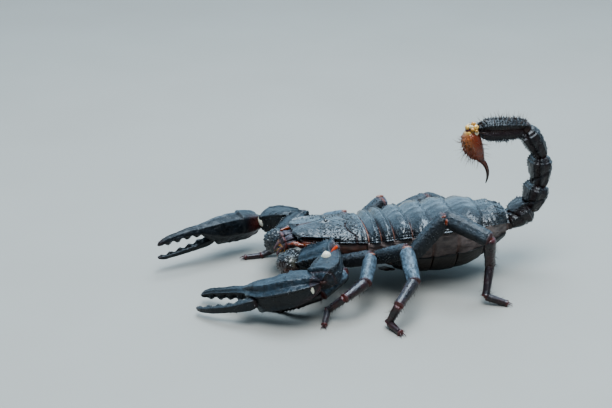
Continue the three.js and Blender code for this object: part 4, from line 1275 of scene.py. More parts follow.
def dress_hand(grid, place, phi, seed, ruddy):
    """Keels round a back with painted sheen, hollows, a raised strip with a painted highlight and a cleft
    before the finger, ruddy below.
    """
    hand, lower = 1 - fade(place, 14.5, 18), between(phi, 200, 330, 20)
    keel = 1.5 * keels(phi, (28,), 5) + 1.5 * keels(phi, (66,), 5) * hand + 0.7 * keels(phi, (325, 140), 6)
    relief = keel * (0.24 + 0.06 * grains(grid, 0.6, seed)) - 0.42 * keels(phi, (47,), 8) * hand
    relief += 0.14 * uneven(grid, 2.4, seed + 1) + 0.07 * uneven(grid, 0.9, seed + 2)
    relief += 0.05 * lower * grains(grid, 0.55, seed + 3) + facing_edge(place, phi, -28, 16.5)
    relief -= 0.28 * between(phi, 70, 130, 24) * hump(place, 10.5, 3.0)
    relief -= 0.3 * hump(place, 1.1, 0.45) * between(phi, -60, 150, 30)
    relief -= 0.25 * between(phi, -30, 20, 22) * hump(place, 9.0, 2.6)
    slant = place - 0.045 * ((phi + 180) % 360 - 180)
    # A slanting raised strip before the finger; its pale and sheen marks below are a painted highlight.
    highlight_strip = hump(slant, 14.4, 0.6) * between(phi, -62, 30, 16)
    relief += 0.42 * highlight_strip - 0.5 * hump(slant, 15.7, 0.5) * between(phi, -62, 20, 16)
    shoulder = fade(place, 1.5, 3) * (1 - fade(place, 6.6, 7.6))
    relief += (0.34 * shoulder + 0.16 * hump(place, 6.7, 0.4)) * between(phi, 85, 260, 40)
    warm = 0.45 * hump(place, 1.1, 0.3) * between(phi, 20, 120, 30) + 0.35 * hump(place, 0.2, 0.5)
    warm += ruddy * between(phi, 195, 330, 60) * (1 - fade(place, 1.0 + 2 * ruddy, 5.0 + 2 * ruddy))
    warm += 0.25 * fade(place, 27, 29)
    # Painted sheen on the back of the hand, and a painted highlight on the strip.
    painted_sheen = between(phi, 30, 150, 8) * (1 - 0.9 * fade(place, 17, 24)) + 1.6 * highlight_strip
    return relief, {"warm": warm, "pale": 0.08 * highlight_strip, "rough": 0.3 * between(phi, -70, 26, 16),
                    "hairy": 0.3 * lower + 0.4 * (1 - hand), "painted_sheen": painted_sheen}


def dress_finger(grid, place, phi, seed):
    """Two keels on the outside, scallops on the inside, a little painted sheen near the root."""
    relief = 0.1 * keels(phi, (45, 315), 8) + 0.08 * uneven(grid, 1.4, seed)
    relief += facing_edge(place, phi, 150, 15.5) + 0.05 * grains(grid, 0.5, seed + 1) * between(phi, 200, 340)
    warm = 0.25 * hump(place, 13.4, 0.6) + 0.25 * fade(place, 26.5, 28)
    painted_sheen = 0.1 * between(phi, 35, 110, 16) * (1 - fade(place, 17, 25))
    return relief, {"warm": warm, "rough": 0.3, "hairy": 0.4 * between(phi, 90, 270, 30), "painted_sheen": painted_sheen}


for side, slim in HAND_SLIM.items():
    link, pose = arm_chain(side)["hand"], ARM_POSES[side]
    hand = claw_part(HAND_ROWS * slim, link["start"], link["axes"], 0, pose["bow"],
                     partial(dress_hand, seed=320, ruddy=RUDDY[side]), HAND_KEELS)
    finger = claw_part(FINGER_ROWS * slim, link["start"], link["axes"], pose["open"], pose["bow"],
                       partial(dress_finger, seed=330), FINGER_KEELS)
    make_piece(f"claw_{side}_hand", [hand], SHELL["claw"], [f"pedipalp_{side}_hand"])
    make_piece(f"claw_{side}_finger", [finger], SHELL["claw"], [f"pedipalp_{side}_movable_finger"])
count("claw_")

# %% [markdown]
# ## Mouth claws
# Two short stout claws stick out under the shield's notch and chew the prey. Each
# has a smooth swollen palm with a ruddy rim, a fixed finger on its inner side and a
# movable one on its outer side.

# %% Mouth claws


def dress_palm(grid, t, phi, seed):
    """Smooth and swollen, with a ruddy rim and a hairy underside."""
    relief = 0.22 * uneven(grid, 1.1, seed) - 0.3 * hump(t, 0.78, 0.05)
    relief -= 0.25 * keels(phi, (70, 160, 20), 12)
    relief += 0.05 * grains(grid, 0.4, seed + 1) * between(phi, 180, 360, 40)
    warm = 0.7 * hump(t, 0.84, 0.06) + 0.4 * between(phi, 200, 340, 40)
    hairy = fade(t, 0.66, 0.84) * between(phi, 200, 340, 50)
    return relief, {"warm": warm, "hairy": hairy}


def curved_finger(start, heading, lean, bend, length, radius, rows=30, columns=18):
    """A tapering finger that sets out along heading and bends toward bend."""
    t = np.linspace(0, 1, rows)
    path = start + length * (t[:, None] * heading + lean * (t**2)[:, None] * bend)
    tangent = unit(np.gradient(path, axis=0))
    side = unit(np.cross(tangent, np.cross(heading, bend)))
    size = radius * (1 - 0.8 * t**1.8) * round_ends(t, 0.08, 0.03)
    aside, upward = (value[:, None] for value in circle(np.arange(columns) * 360 / columns))
    ring = aside * side[:, None] + upward * np.cross(tangent, side)[:, None]
    return path[:, None] + size[:, None, None] * ring


for side, sign in SIDES.items():
    axes = limb_axes(-90, -12, sign)
    root = np.array([sign * 1.5, 2.6, 11.6])
    palm = partial(dress_palm, seed=340)
    grids = [limb_part(root, axes, (4.9, 2.7, 2.9), ARM_SHAPE, palm, (0.15, 0.16), 0.12, 2.5)]
    for place, lean in ((-0.55, 0.312), (0.6, 0.275)):
        start = root + axes[0] * 3.9 + (sign * place, 0, -0.35)
        heading = np.array([sign * -0.1 * place, -0.78, -0.62])
        tip_bend = np.array([-sign * np.sign(place), 0.1, -0.6])
        finger = curved_finger(start, heading, lean, tip_bend, 2.9, 0.52)
        grids.append((finger, {"warm": 0.35, "rough": 0.5, "hairy": 0.2}))
    make_piece(f"mouth_claw_{side}", grids, SHELL["mouth"], [f"chelicera_{side}"])
count("mouth_claw")

# %% [markdown]
# ## Tail
# Five rings curl up over the back and forward, so the fifth lies upside down. Keels
# with small teeth run along each ring; between them the sides are hollowed. On the
# first four the back keels rise into rounded rims. The fifth is long, and its outer
# face and edges are beset with teeth.

# %% Tail rings
TAIL_ROOT = np.array([0.0, 51.2, 11.7])
# For each ring its length, width, depth and pitch.
TAIL_RINGS = [
    (6.5, 6.7, 5.9, 30), (5.9, 6.2, 5.6, 73), (7.0, 5.7, 5.2, 92), (7.5, 5.3, 4.7, 122),
    (11.8, 4.9, 4.8, 179),
]
RING_SHAPE = [(0, 0.62), (0.12, 0.71), (0.3, 0.82), (0.55, 0.91), (0.78, 0.94), (0.9, 0.86), (1, 0.62)]
LONG_SHAPE = [(0, 0.56), (0.08, 0.66), (0.3, 0.82), (0.55, 0.88), (0.8, 0.82), (0.95, 0.68), (1, 0.56)]
RING_KEELS = (50, 130, 166, 214, 250, 290, 326, 14)
LONG_KEELS = (55, 125, 214, 270, 326)
TAIL_LAP = 0.5


def tail_axes(pitch):
    """A tail part's axes; its back is the inner side of the curl."""
    ahead, rise = circle(pitch)
    return np.array([0, ahead, rise]), np.array([-1.0, 0, 0]), np.array([0, -rise, ahead])


def dress_ring(grid, t, phi, length, seed):
    """Toothed back rims that rise to the rear, side keels, hollows, a lip and a slanting groove."""
    rims, lines = keels(phi, RING_KEELS[:2], 8), keels(phi, RING_KEELS[2:], 6)
    hollow = keels(phi, (148, 32, 190, 350), 12)
    rise = 0.25 * fade(t, 0.5, 0.88) * (1 - fade(t, 0.93, 0.99))
    relief = rims * (0.14 + rise + 0.12 * grains(grid, 0.5, seed))
    relief += lines * (0.08 + 0.07 * grains(grid, 0.42, seed + 1)) - 0.14 * hollow * round_ends(t, 0.3, 0.3)
    relief += 0.12 * uneven(grid, 1.5, seed + 2) + 0.06 * uneven(grid, 0.6, seed + 3)
    relief -= 0.3 * keels(phi, (90,), 26) * round_ends(t, 0.3, 0.2)
    from_end = (1 - t) * length
    relief += 0.12 * hump(from_end, 0.6, 0.22) - 0.2 * hump(from_end, 1.2, 0.25)
    slant = t - 0.0034 * (away(phi, 90) - 90)
    relief -= 0.34 * hump(slant, 0.42, 0.055) * (between(phi, 100, 250, 20) + between(phi, -70, 80, 20))
    warm = 0.4 * hump(from_end, 0.1, 0.25) + 0.2 * hump(t * length, 0.1, 0.4) + 0.15 * hollow
    # Painted sheen on the back rims.
    return relief, {"warm": warm, "rough": 0.3 * lines, "hairy": 0.4 * (lines + rims), "painted_sheen": 0.25 * rims}


def dress_last_ring(grid, t, phi, length, seed):
    """Five toothed keels, a grained outer face, and deep warm hollows on both flanks."""
    outer, hollow = between(phi, 214, 326, 14), round_ends(t, 0.25, 0.2)
    relief = keels(phi, LONG_KEELS, 6) * (0.26 + 0.2 * grains(grid, 0.5, seed))
    relief += outer * (0.12 * grains(grid, 0.5, seed + 1) + 0.06 * grains(grid, 0.33, seed + 2))
    relief += 0.08 * uneven(grid, 1.4, seed + 3) + 0.03 * grains(grid, 0.35, seed + 4)
    relief -= 0.85 * keels(phi, (172, 8), 24) * hollow
    from_end = (1 - t) * length
    relief += 0.12 * hump(from_end, 0.5, 0.2) - 0.12 * hump(from_end, 1.0, 0.25)
    warm = 0.5 * hump(from_end, 0.1, 0.3) + 0.4 * hump(t * length, 0.2, 0.5)
    warm += 0.55 * keels(phi, (172, 8), 22) * hollow
    rough = (0.3 + 0.3 * outer) * (1 - keels(phi, (164, 16), 30))
    # Painted sheen on the grained outer face.
    return relief, {"warm": warm, "rough": rough, "hairy": 0.8 * outer + 0.5 * keels(phi, (125, 55), 12),
                    "painted_sheen": 0.6 * outer}


OTHER_RINGS = (RING_SHAPE, RING_KEELS, 0.07, dress_ring)
LAST_RING = (LONG_SHAPE, LONG_KEELS, 0.3, dress_last_ring)
tail_joints = [TAIL_ROOT]
for number, (length, width, depth, pitch) in enumerate(TAIL_RINGS, 1):
    last = number == len(TAIL_RINGS)
    shape, corners, flat, dress = LAST_RING if last else OTHER_RINGS
    axes, lap = tail_axes(pitch), TAIL_LAP * (number > 1)
    dress = partial(dress, length=length, seed=400 + 10 * number)
    grid = limb_part(tail_joints[-1] - axes[0] * lap, axes, (length + lap, width, depth), shape, dress,
                     (0.08, 0.26), 0.13, corners=corners, flat=flat)
    make_piece(f"tail_ring_{number}", [grid], SHELL["tail"], [f"tail_segment_{number}"])
    tail_joints.append(tail_joints[-1] + axes[0] * length)
count("tail_ring")

# %% [markdown]
# ## Bulb and sting
# The bulb holds the venom. It is the one warm-coloured part of the animal: clear
# orange-brown, shining, grained on its outer side, and darker where it runs into the
# black sting. The sting is one smooth arc that tapers to a point.

# %% Bulb and sting
BULB_LENGTH, BULB_GIRTH, BULB_PITCH = 8.6, 4.6, 288
BULB_START = tail_joints[-1] + (0, -1.8, 0.3)
BULB_FULL = [(0, 0.42), (0.1, 0.7), (0.28, 0.96), (0.5, 1.0), (0.7, 0.86), (0.87, 0.52), (1, 0.27)]
BULB_RISE = [(0, 0.1), (0.1, 0.05), (0.28, 0), (0.5, 0), (0.7, 0.1), (0.87, 0.3), (1, 0.45)]
STING_LENGTH, STING_RADIUS, STING_TIP, STING_TURN, STING_PITCH = 5.9, 0.66, 0.09, 72, 318
STING_STEPS, STING_COLUMNS, STING_SUNK = 60, 24, 0.25


def make_bulb():
    axes = tail_axes(BULB_PITCH)
    t, phi = steps_and_turns(even_steps(74, 0.4), 104)
    half = BULB_GIRTH / 2
    full = half * smooth_curve(BULB_FULL, t) * round_ends(t, 0.06, 0.02)
    wide, deep = (full * value for value in circle(phi))
    middle = BULB_START + (t * BULB_LENGTH)[..., None] * axes[0]
    grid = set_round(middle, axes, wide, deep + half * smooth_curve(BULB_RISE, t))
    outer = between(phi, 190, 350, 60) * fade(t, 0.05, 0.2) * (1 - fade(t, 0.8, 0.95))
    relief = outer * (0.22 * grains(grid, 0.62, 470) + 0.05 * grains(grid, 0.4, 471))
    relief += 0.1 * uneven(grid, 1.7, 472) + 0.05 * keels(phi, (235, 305), 9) * outer
    relief -= 0.06 * keels(phi, (180, 0), 14)
    # The last warm term darkens the bulb's inner side: painted shade. The second pale term is a painted
    # highlight on its outer side near the joint.
    warm = 0.75 * fade(t, 0.78, 1) + 0.5 * hump(t, 0.02, 0.04) + 0.6 * between(phi, 40, 150, 50)
    pale = 0.5 * (1 - fade(t, 0.0, 0.12)) + 0.1 * between(phi, 190, 290, 50) * (1 - fade(t, 0.3, 0.6))
    marks = {"warm": warm, "pale": pale, "hairy": np.clip(0.25 + outer, 0, 1)}
    bulb = [(raised(grid, relief), marks)]
    make_piece("venom_bulb", bulb, SHELL["amber"], ["telson_vesicle"])


def make_sting():
    along, _, back = tail_axes(BULB_PITCH)
    point = BULB_START + along * (BULB_LENGTH - STING_SUNK) + back * BULB_RISE[-1][1] * BULB_GIRTH / 2
    aside, upward = (value[:, None] for value in circle(np.arange(STING_COLUMNS) * 360 / STING_COLUMNS))
    rows, shares = [], np.linspace(0, 1, STING_STEPS)
    for share in shares:
        ahead, across, up = tail_axes(STING_PITCH - share * STING_TURN)
        radius = STING_TIP + (STING_RADIUS - STING_TIP) * (1 - share) ** 0.85
        rows.append(point + radius * (aside * across + upward * up))
        point = point + ahead * (STING_LENGTH + STING_SUNK) / STING_STEPS
    marks = {"warm": 0.8 * (1 - shares[:, None]) ** 2}
    make_piece("sting_point", [(np.array(rows), marks)], SHELL["sting"], ["telson_sting"])


make_bulb()
make_sting()
print("bulb and sting:", PIECES["venom_bulb"] + PIECES["sting_point"], "triangles")

# %% [markdown]
# ## Joint skin
# Where two hard parts meet, pale skin swells out of the gap on the inner side of the
# bend. It is cream-white at the claw arms' knees and wrists, honey-coloured under the
# bulb and the shield's rim, and dark rust elsewhere. Each swelling is a soft lumpy
# pad between the parts.

# %% Soft pads


def pad(centre, heading, length, radius, marks, seed, wave=0.12):
    """A soft swelling round a line through centre; it is creased across."""
    heading = unit(np.array(heading, float))
    side = unit(np.cross(heading, (0.3, 0.2, 1)))
    t, phi = steps_and_turns(even_steps(26, 0.5), 32)
    full = radius * np.sqrt(np.clip(1 - (2 * t - 1) ** 2, 0.003, 1))
    aside, upward = circle(phi)
    middle = np.asarray(centre) + ((t - 0.5) * length)[..., None] * heading
    grid = set_round(middle, (heading, side, np.cross(side, heading)), full * aside, full * upward)
    return raised(grid, wave * uneven(grid, 0.9, seed) + 0.5 * wave * uneven(grid, 0.35, seed + 1)), marks


def under_rim(sign, y, down):
    """A place below the shield's rim."""
    x, _, z = trunk_surface(np.array([[y]]), 9.0)[0, 0]
    return np.array([x * sign, y, z - down])


def skin_roll(sign):
    """Skin that fills the space between the shield's rim and the limbs' roots."""
    t, phi = steps_and_turns(np.linspace(0, 1, 90), 36)
    y = 1.6 + 14.8 * t
    rim = trunk_surface(y, 9.0)
    out, up = (round_ends(t, 0.05, 0.08) * value for value in circle(phi))
    grid = np.stack([(rim[..., 0] - 1.35 + 1.35 * out) * sign, y, rim[..., 2] - 1.35 + 1.75 * up], -1)
    relief = 0.16 * uneven(grid * [1, 0.5, 1], 0.8, 560) + 0.08 * uneven(grid * [1, 0.3, 1], 0.35, 561)
    warm = 0.15 + 0.85 * (1 - fade(y, 5, 9)) + 0.4 * uneven(grid, 1.2, 562)
    return raised(grid, relief), {"warm": np.clip(warm, 0, 1), "pale": 0.1}


honey, rust, cream = [], [], []
print("a pad has", pad((0, 0, 0), (1, 0, 0), 2, 1, {}, 1)[0].shape[:2], "rows and columns")

# %% Skin of the claw arms
for side in SIDES:
    chain = arm_chain(side)
    knee, wrist = chain["patella"]["start"], chain["hand"]["start"]
    along, out, up = chain["hand"]["axes"]
    rust.append(pad(knee, chain["patella"]["axes"][0], 3.0, 1.15, {"warm": 0.1}, 503))
    rust.append(pad(wrist, along, 2.6, 0.5, {"warm": 0.1}, 504))
    swellings = [
        (knee + (4.1, -3.1, 0), (0.1, 0.2, 0.95), 3.2, 1.12, {"pale": 0.5}, 500, 0.14),
        (knee + (1.75, -0.75, 0.55), (0.1, 0.5, 0.9), 2.6, 0.52, {"warm": 1.0}, 502, 0.05),
        (wrist + along * 1.6 + out * 2.45, up, 2.4, 0.62, {"pale": 0.5}, 505, 0.04),
    ] if side == "left" else [(wrist + (3, -0.75, 1), (0.1, 0.35, -0.9), 2.7, 0.8, {"pale": 0.6}, 505, 0.06)]
    cream += [pad(*swelling) for swelling in swellings]
print("pads on the claw arms:", len(rust) + len(cream))

# %% Skin of the legs
LEG_WARMTH = {"femur": 0.3, "patella": 0.3, "tibia": 0.8, "basitarsus": 0.5, "tarsus": 0.3}
# Leg, place beside its knee, heading, length, radius and marks.
KNEE_PATCHES = [
    (2, (0.8, -0.15, 0.95), (0.2, 1.0, 0.1), 1.8, 0.42, {"warm": 1.0, "pale": 0.22}),
    (3, (0.8, -0.15, 1.05), (0.2, 1.0, 0.1), 2.0, 0.46, {"warm": 1.0, "pale": 0.28}),
    (4, (1.7, -0.2, -0.25), (-0.3, 0.1, 0.9), 2.0, 0.48, {"warm": 0.3}),
    (4, (1.1, -0.9, 0.55), (0.2, 1.0, 0.3), 1.3, 0.32, {"warm": 0.6}),
]
for side, number in LEGS:
    leg, before = leg_chain(side, number), "trochanter"
    for name, warm in LEG_WARMTH.items():
        size = 0.37 * min(leg[name]["size"][2], leg[before]["size"][2])
        along, fold = leg[name]["axes"][0], unit(leg[name]["axes"][0] - leg[before]["axes"][0])
        marks = {"warm": 1.0, "pale": 0.1} if name == "patella" and number in (2, 3) else {"warm": warm}
        centre = leg[name]["start"] + fold * 0.3 * size
        rust.append(pad(centre, along, 2.4 * size, size, marks, 520 + number, 0.05))
        before = name
for number, place, heading, length, radius, marks in KNEE_PATCHES:
    for side, sign in SIDES.items():
        centre = leg_chain(side, number)["patella"]["start"] + np.array(place) * [sign, 1, 1]
        patch = pad(centre, np.array(heading) * [sign, 1, 1], length, radius, marks, 570 + number, 0.1)
        (honey if number == 4 else rust).append(patch)
print("rust-coloured pads so far:", len(rust))

# %% Skin of the tail and under the shield
# Each lump's place beside the joint, and its size.
BULB_JOINT = tail_joints[-1] * 0.55 + BULB_START * 0.45
BULB_LUMPS = [
    (1.1, 0.5, 0.9, 0.5544), (1.45, -0.4, 0.35, 0.504), (1.2, 0.55, -0.35, 0.5208), (0.2, -1.2, 0.7, 0.588),
    (0.0, 0.2, 1.3, 0.5544), (-1.1, -0.3, 0.5, 0.672), (1.1, -1.1, -0.4, 0.42), (1.6, 0.4, 0.2, 0.378),
    (0.9, -0.6, 1.0, 0.462), (1.0, -0.3, -0.8, 0.462),
]
for number, (joint, (_, width, _, pitch)) in enumerate(zip(tail_joints, TAIL_RINGS)):
    rust.append(pad(joint, tail_axes(pitch)[0], 2.6, width * 0.34, {}, 540 + number))
rust.append(pad(BULB_JOINT, (0, -0.9, 0.1), 3.4, 1.3, {"warm": 0.5}, 549))
for number, (*place, size) in enumerate(BULB_LUMPS):
    kind = number % 3
    heading, marks = (0.1, -0.8, 0.25 + 0.2 * kind), {"pale": 0.7 - 0.3 * kind}
    lump = pad(BULB_JOINT + place, heading, 2.4 * size, size, marks, 550 + number, 0.15)
    (cream if kind == 2 else honey).append(lump)
for sign in SIDES.values():
    honey.append(pad(under_rim(sign, 2.6, 1.0), (0.12 * sign, 1, -0.1), 5.2, 0.5, {"warm": 0.65}, 565, 0.2))
    honey.append(pad((4.6 * sign, 0.1, 11.6), (0.3 * sign, 1, 0.05), 3.4, 0.42, {"warm": 0.5}, 566, 0.2))
    rust.append(skin_roll(sign))
make_piece("honey_joint_skin", honey, SHELL["amber"])
make_piece("dark_joint_skin", rust, RUST_SKIN)
make_piece("joint_skin_pads", cream, JOINT_SKIN)
count("joint_skin")

# %% [markdown]
# ## Combs
# Under the front of the belly hang two combs, which feel the ground. Each is a flat
# strip with a row of blunt teeth along its rear edge, and it rises outward.

# %% Combs
COMB_LENGTH, COMB_TEETH, COMB_SWEEP, COMB_RISE = 6.6, 12, 6, 17
COMB_SHAPE = [(0, 0.8), (0.3, 1), (0.8, 1), (1, 0.75)]


def dress_comb(grid, t, phi, seed, warm):
    """Nearly smooth, and paler than the belly."""
    return 0.03 * uneven(grid, 0.8, seed) + 0.02 * grains(grid, 0.3, seed + 1), {"warm": warm, "painted_sheen": 0.0}


def comb_bar(start, axes, size, seed, warm):
    """A flat soft-edged bar."""
    dress = partial(dress_comb, seed=seed, warm=warm)
    return limb_part(start, axes, size, COMB_SHAPE, dress, (0.2, 0.25), 0.12, 3.0)


for side, sign in SIDES.items():
    along, across, back = limb_axes(COMB_SWEEP, COMB_RISE, sign)
    root, pitch = np.array([1.2 * sign, 21.2, 2.6]) + back * 0.3, COMB_LENGTH / COMB_TEETH
    bars = [comb_bar(root - across * 0.6, (along, across, back), (COMB_LENGTH, 1.3, 0.6), 580, 0.35)]
    for number in range(COMB_TEETH):
        place = root + along * (number + 0.5) * pitch - across * 0.2
        bars.append(comb_bar(place, (across, -along, back), (1.15, 0.72 * pitch, 0.42), 581 + number, 0.5))
    make_piece(f"comb_{side}", bars, SHELL["belly"], [f"pecten_{side}"])
count("comb")

# %% [markdown]
# ## Grains, teeth and bristles by Geometry Nodes
# Three things repeat by the hundred: shining grains on the shell, small teeth in
# rows along the keels, and bristles. Each could be copied about by a Python loop,
# but a node tree says the rule once, shows its sizes as inputs, and gives the same
# result every time from one seed. The bed they grow on is a plain copy of the
# pieces' grids that also carries two vectors: which way the part runs, and where
# each point lies on a flat unwrap of the shell.

# %% A bed to grow on


def unwrapped(grid, tile, tiles):
    """Each point's place on a flat sheet on which every grid has its own tile."""
    rows, columns = grid.shape[:2]
    u = (tile % tiles + 0.05 + 0.9 * np.arange(columns) / columns) / tiles
    v = (tile // tiles + 0.05 + 0.9 * np.arange(rows) / (rows - 1)) / tiles
    return np.stack([*np.meshgrid(u, v), np.zeros((rows, columns))], -1)


def make_bed(names):
    """One mesh of the grids of some pieces, with marks, run and root_place."""
    grids = [entry for name in names for entry in GRIDS[name]]
    tiles = math.ceil(math.sqrt(len(grids)))
    runs = [unit(np.gradient(grid, axis=0)) for grid, _ in grids]
    places = [unwrapped(grid, tile, tiles) for tile, (grid, _) in enumerate(grids)]
    bed = mesh_object("bed", *join_grids(grids))
    for key, blocks in (("run", runs), ("root_place", places)):
        write_attribute(bed.data, key, np.concatenate([with_poles(block) for block in blocks]))
    return bed


print("pieces that can carry grains:", len(GRIDS))

# %% Tree helpers


def new_tree(name, sizes):
    """A Geometry Nodes tree with a named input for every size and for its finish."""
    tree = bpy.data.node_groups.new(name, "GeometryNodeTree")
    tree.interface.new_socket("Geometry", in_out="INPUT", socket_type="NodeSocketGeometry")
    for key, value in sizes.items():
        kind = "NodeSocketInt" if isinstance(value, int) else "NodeSocketFloat"
        tree.interface.new_socket(key, in_out="INPUT", socket_type=kind).default_value = value
    tree.interface.new_socket("Finish", in_out="INPUT", socket_type="NodeSocketMaterial")
    tree.interface.new_socket("Geometry", in_out="OUTPUT", socket_type="NodeSocketGeometry")
    return tree, node(tree, "NodeGroupInput")


def random_number(tree, low, high, seed, kind="FLOAT"):
    """A random value between two others, different at every point."""
    sockets = {"Min": low, "Max": high, "Seed": seed}
    return node(tree, "FunctionNodeRandomValue", sockets, data_type=kind)["Value"]


def stored(tree, name, kind="FLOAT"):
    """What is stored at the bed's points under a name."""
    return node(tree, "GeometryNodeInputNamedAttribute", {"Name": name}, data_type=kind)["Attribute"]


def scaled(tree, vector, scale):
    return node(tree, "ShaderNodeVectorMath", {0: vector, "Scale": scale}, operation="SCALE")[0]


def added(tree, first, second):
    return node(tree, "ShaderNodeVectorMath", {0: first, 1: second}, operation="ADD")[0]


def facing(tree, vector):
    """The turn that points a shape's own Z along a vector."""
    return node(tree, "FunctionNodeAlignRotationToVector", {"Vector": vector}, axis="Z")[0]


def cone(tree, corners, top, bottom):
    """A cone one unit long; its middle is at zero."""
    return node(tree, "GeometryNodeMeshCone", {
        "Vertices": corners, "Side Segments": 3, "Fill Segments": 1, "Radius Top": top,
        "Radius Bottom": bottom, "Depth": 1.0})["Mesh"]


def moved(tree, mesh, **shift):
    """A mesh with its points shifted along X, Y or Z."""
    offset = node(tree, "ShaderNodeCombineXYZ", shift)[0]
    return node(tree, "GeometryNodeSetPosition", {"Geometry": mesh, "Offset": offset})[0]


def sow_and_finish(tree, inputs, points, shape, turn, size):
    """Ends a tree: a shape on every point, real mesh, smooth, with its finish."""
    sown = node(tree, "GeometryNodeInstanceOnPoints", {
        "Points": points, "Instance": shape, "Rotation": turn, "Scale": size})[0]
    real = node(tree, "GeometryNodeRealizeInstances", {"Geometry": sown})[0]
    smooth = node(tree, "GeometryNodeSetShadeSmooth", {"Geometry": real})[0]
    coat = node(tree, "GeometryNodeSetMaterial", {"Geometry": smooth, "Material": inputs["Finish"]})[0]
    node(tree, "NodeGroupOutput", {"Geometry": coat})
    return tree


print("tree helpers ready")

# %% Growing a tree on a bed


def read_vectors(mesh, key):
    values = np.zeros(len(mesh.vertices) * 3, np.float32)
    mesh.attributes[key].data.foreach_get("vector", values)
    return values.reshape(-1, 3)


def write_unwrap(mesh):
    """A small patch for every bristle at its root's place on the shell's unwrap."""
    place = read_vectors(mesh, "root_place")[:, :2] + read_vectors(mesh, "patch")[:, :2]
    corners = np.zeros(len(mesh.loops), np.int32)
    mesh.loops.foreach_get("vertex_index", corners)
    layer = mesh.uv_layers.new(name="OFBake")
    layer.data.foreach_set("uv", np.clip(place[corners], 0, 1).astype(np.float32).ravel())


def grow(name, bed, tree, sizes, unwrap=False):
    """Runs a tree on a bed, keeps the mesh it makes, and drops the bed."""
    modifier = bed.modifiers.new("grow", "NODES")
    modifier.node_group = tree
    for item in tree.interface.items_tree:
        if item.in_out == "INPUT" and item.name in sizes:
            modifier[item.identifier] = sizes[item.name]
    graph = bpy.context.evaluated_depsgraph_get()
    mesh = bpy.data.meshes.new_from_object(bed.evaluated_get(graph), depsgraph=graph)
    bed.modifiers.remove(modifier)
    plain = bed.data
    bpy.data.objects.remove(bed)
    bpy.data.meshes.remove(plain)
    mesh.name = name
    if unwrap:
        write_unwrap(mesh)
    return settle(add_object(name, mesh))


print("a bed is dropped once its tree has grown")

# %% Grain tree


def grain_tree():
    """Domes strewn with even gaps, as thick as the mark called rough."""
    sizes = {"Gap": 0.5 * MM, "Thickest": 6.0e6, "Smallest": 0.12 * MM, "Largest": 0.24 * MM, "Seed": 1}
    tree, inputs = new_tree("shell_grains", sizes)
    strewn = node(tree, "GeometryNodeDistributePointsOnFaces", {
        "Mesh": inputs["Geometry"], "Distance Min": inputs["Gap"], "Density Max": inputs["Thickest"],
        "Density Factor": stored(tree, "rough"), "Seed": inputs["Seed"]}, distribute_method="POISSON")
    ball = node(tree, "GeometryNodeMeshUVSphere", {"Segments": 8, "Rings": 5, "Radius": 1.0})["Mesh"]
    dome = node(tree, "GeometryNodeTransform", {"Geometry": ball, "Scale": (1, 1, 0.75)})[0]
    size = random_number(tree, inputs["Smallest"], inputs["Largest"], inputs["Seed"])
    return sow_and_finish(tree, inputs, strewn["Points"], dome, strewn["Rotation"], size)


GRAIN_TREE = grain_tree()
print("grain tree:", len(GRAIN_TREE.nodes), "nodes")

# %% Bristle tree
PATCH_SCALE = 0.003


def bristle_tree():
    """Thin bent cones, as thick as the mark called hairy, leaning the way the part runs."""
    sizes = {"Per Square Metre": 1.0e6, "Shortest": 0.5 * MM, "Longest": 1.0 * MM, "Root Radius": 0.03,
             "Lean": 0.8, "Stray": 0.3, "Bend": 0.2, "Seed": 1}
    tree, inputs = new_tree("bristles", sizes)
    density = maths(tree, "MULTIPLY", stored(tree, "hairy"), inputs["Per Square Metre"])
    strewn = node(tree, "GeometryNodeDistributePointsOnFaces", {
        "Mesh": inputs["Geometry"], "Density": density, "Seed": inputs["Seed"]}, distribute_method="RANDOM")
    lean = scaled(tree, stored(tree, "run", "FLOAT_VECTOR"), inputs["Lean"])
    stray = random_number(tree, (-1, -1, -1), (1, 1, 1), inputs["Seed"], "FLOAT_VECTOR")
    heading = added(tree, added(tree, strewn["Normal"], lean), scaled(tree, stray, inputs["Stray"]))
    parts = node(tree, "ShaderNodeSeparateXYZ", {0: node(tree, "GeometryNodeInputPosition")[0]})
    bend = maths(tree, "MULTIPLY", maths(tree, "MULTIPLY", parts["Z"], parts["Z"]), inputs["Bend"])
    bent = moved(tree, cone(tree, 3, 0.0, inputs["Root Radius"]), X=bend)
    patch = node(tree, "ShaderNodeCombineXYZ", {"X": parts["Z"], "Y": parts["X"]})[0]
    bristle = node(tree, "GeometryNodeStoreNamedAttribute", {
        "Geometry": bent, "Name": "patch", "Value": scaled(tree, patch, PATCH_SCALE)},
        data_type="FLOAT_VECTOR", domain="POINT")[0]
    size = random_number(tree, inputs["Shortest"], inputs["Longest"], inputs["Seed"])
    return sow_and_finish(tree, inputs, strewn["Points"], bristle, facing(tree, heading), size)


BRISTLE_TREE = bristle_tree()
print("bristle tree:", len(BRISTLE_TREE.nodes), "nodes")

# %% Tooth row tree


def tooth_tree():
    """Blunt cones set along lines, each along the line's own aim and of its own size."""
    sizes = {"Spacing": 0.6 * MM, "Width": 0.7, "Lift": 0.3, "Seed": 1}
    tree, inputs = new_tree("tooth_rows", sizes)
    line = node(tree, "GeometryNodeMeshToCurve", {"Mesh": inputs["Geometry"]})[0]
    spacing = {"Curve": line, "Length": inputs["Spacing"]}
    even = node(tree, "GeometryNodeResampleCurve", spacing, mode="LENGTH")[0]
    points = node(tree, "GeometryNodeCurveToPoints", {"Curve": even}, mode="EVALUATED")["Points"]
    root, tip = (maths(tree, "MULTIPLY", inputs["Width"], share) for share in (0.5, 0.12))
    tooth = moved(tree, cone(tree, 7, tip, root), Z=maths(tree, "MULTIPLY", inputs["Lift"], -1.0))
    size = maths(tree, "MULTIPLY", stored(tree, "size"), random_number(tree, 0.7, 1.25, inputs["Seed"]))
    turn = facing(tree, stored(tree, "aim", "FLOAT_VECTOR"))
    return sow_and_finish(tree, inputs, points, tooth, turn, size)


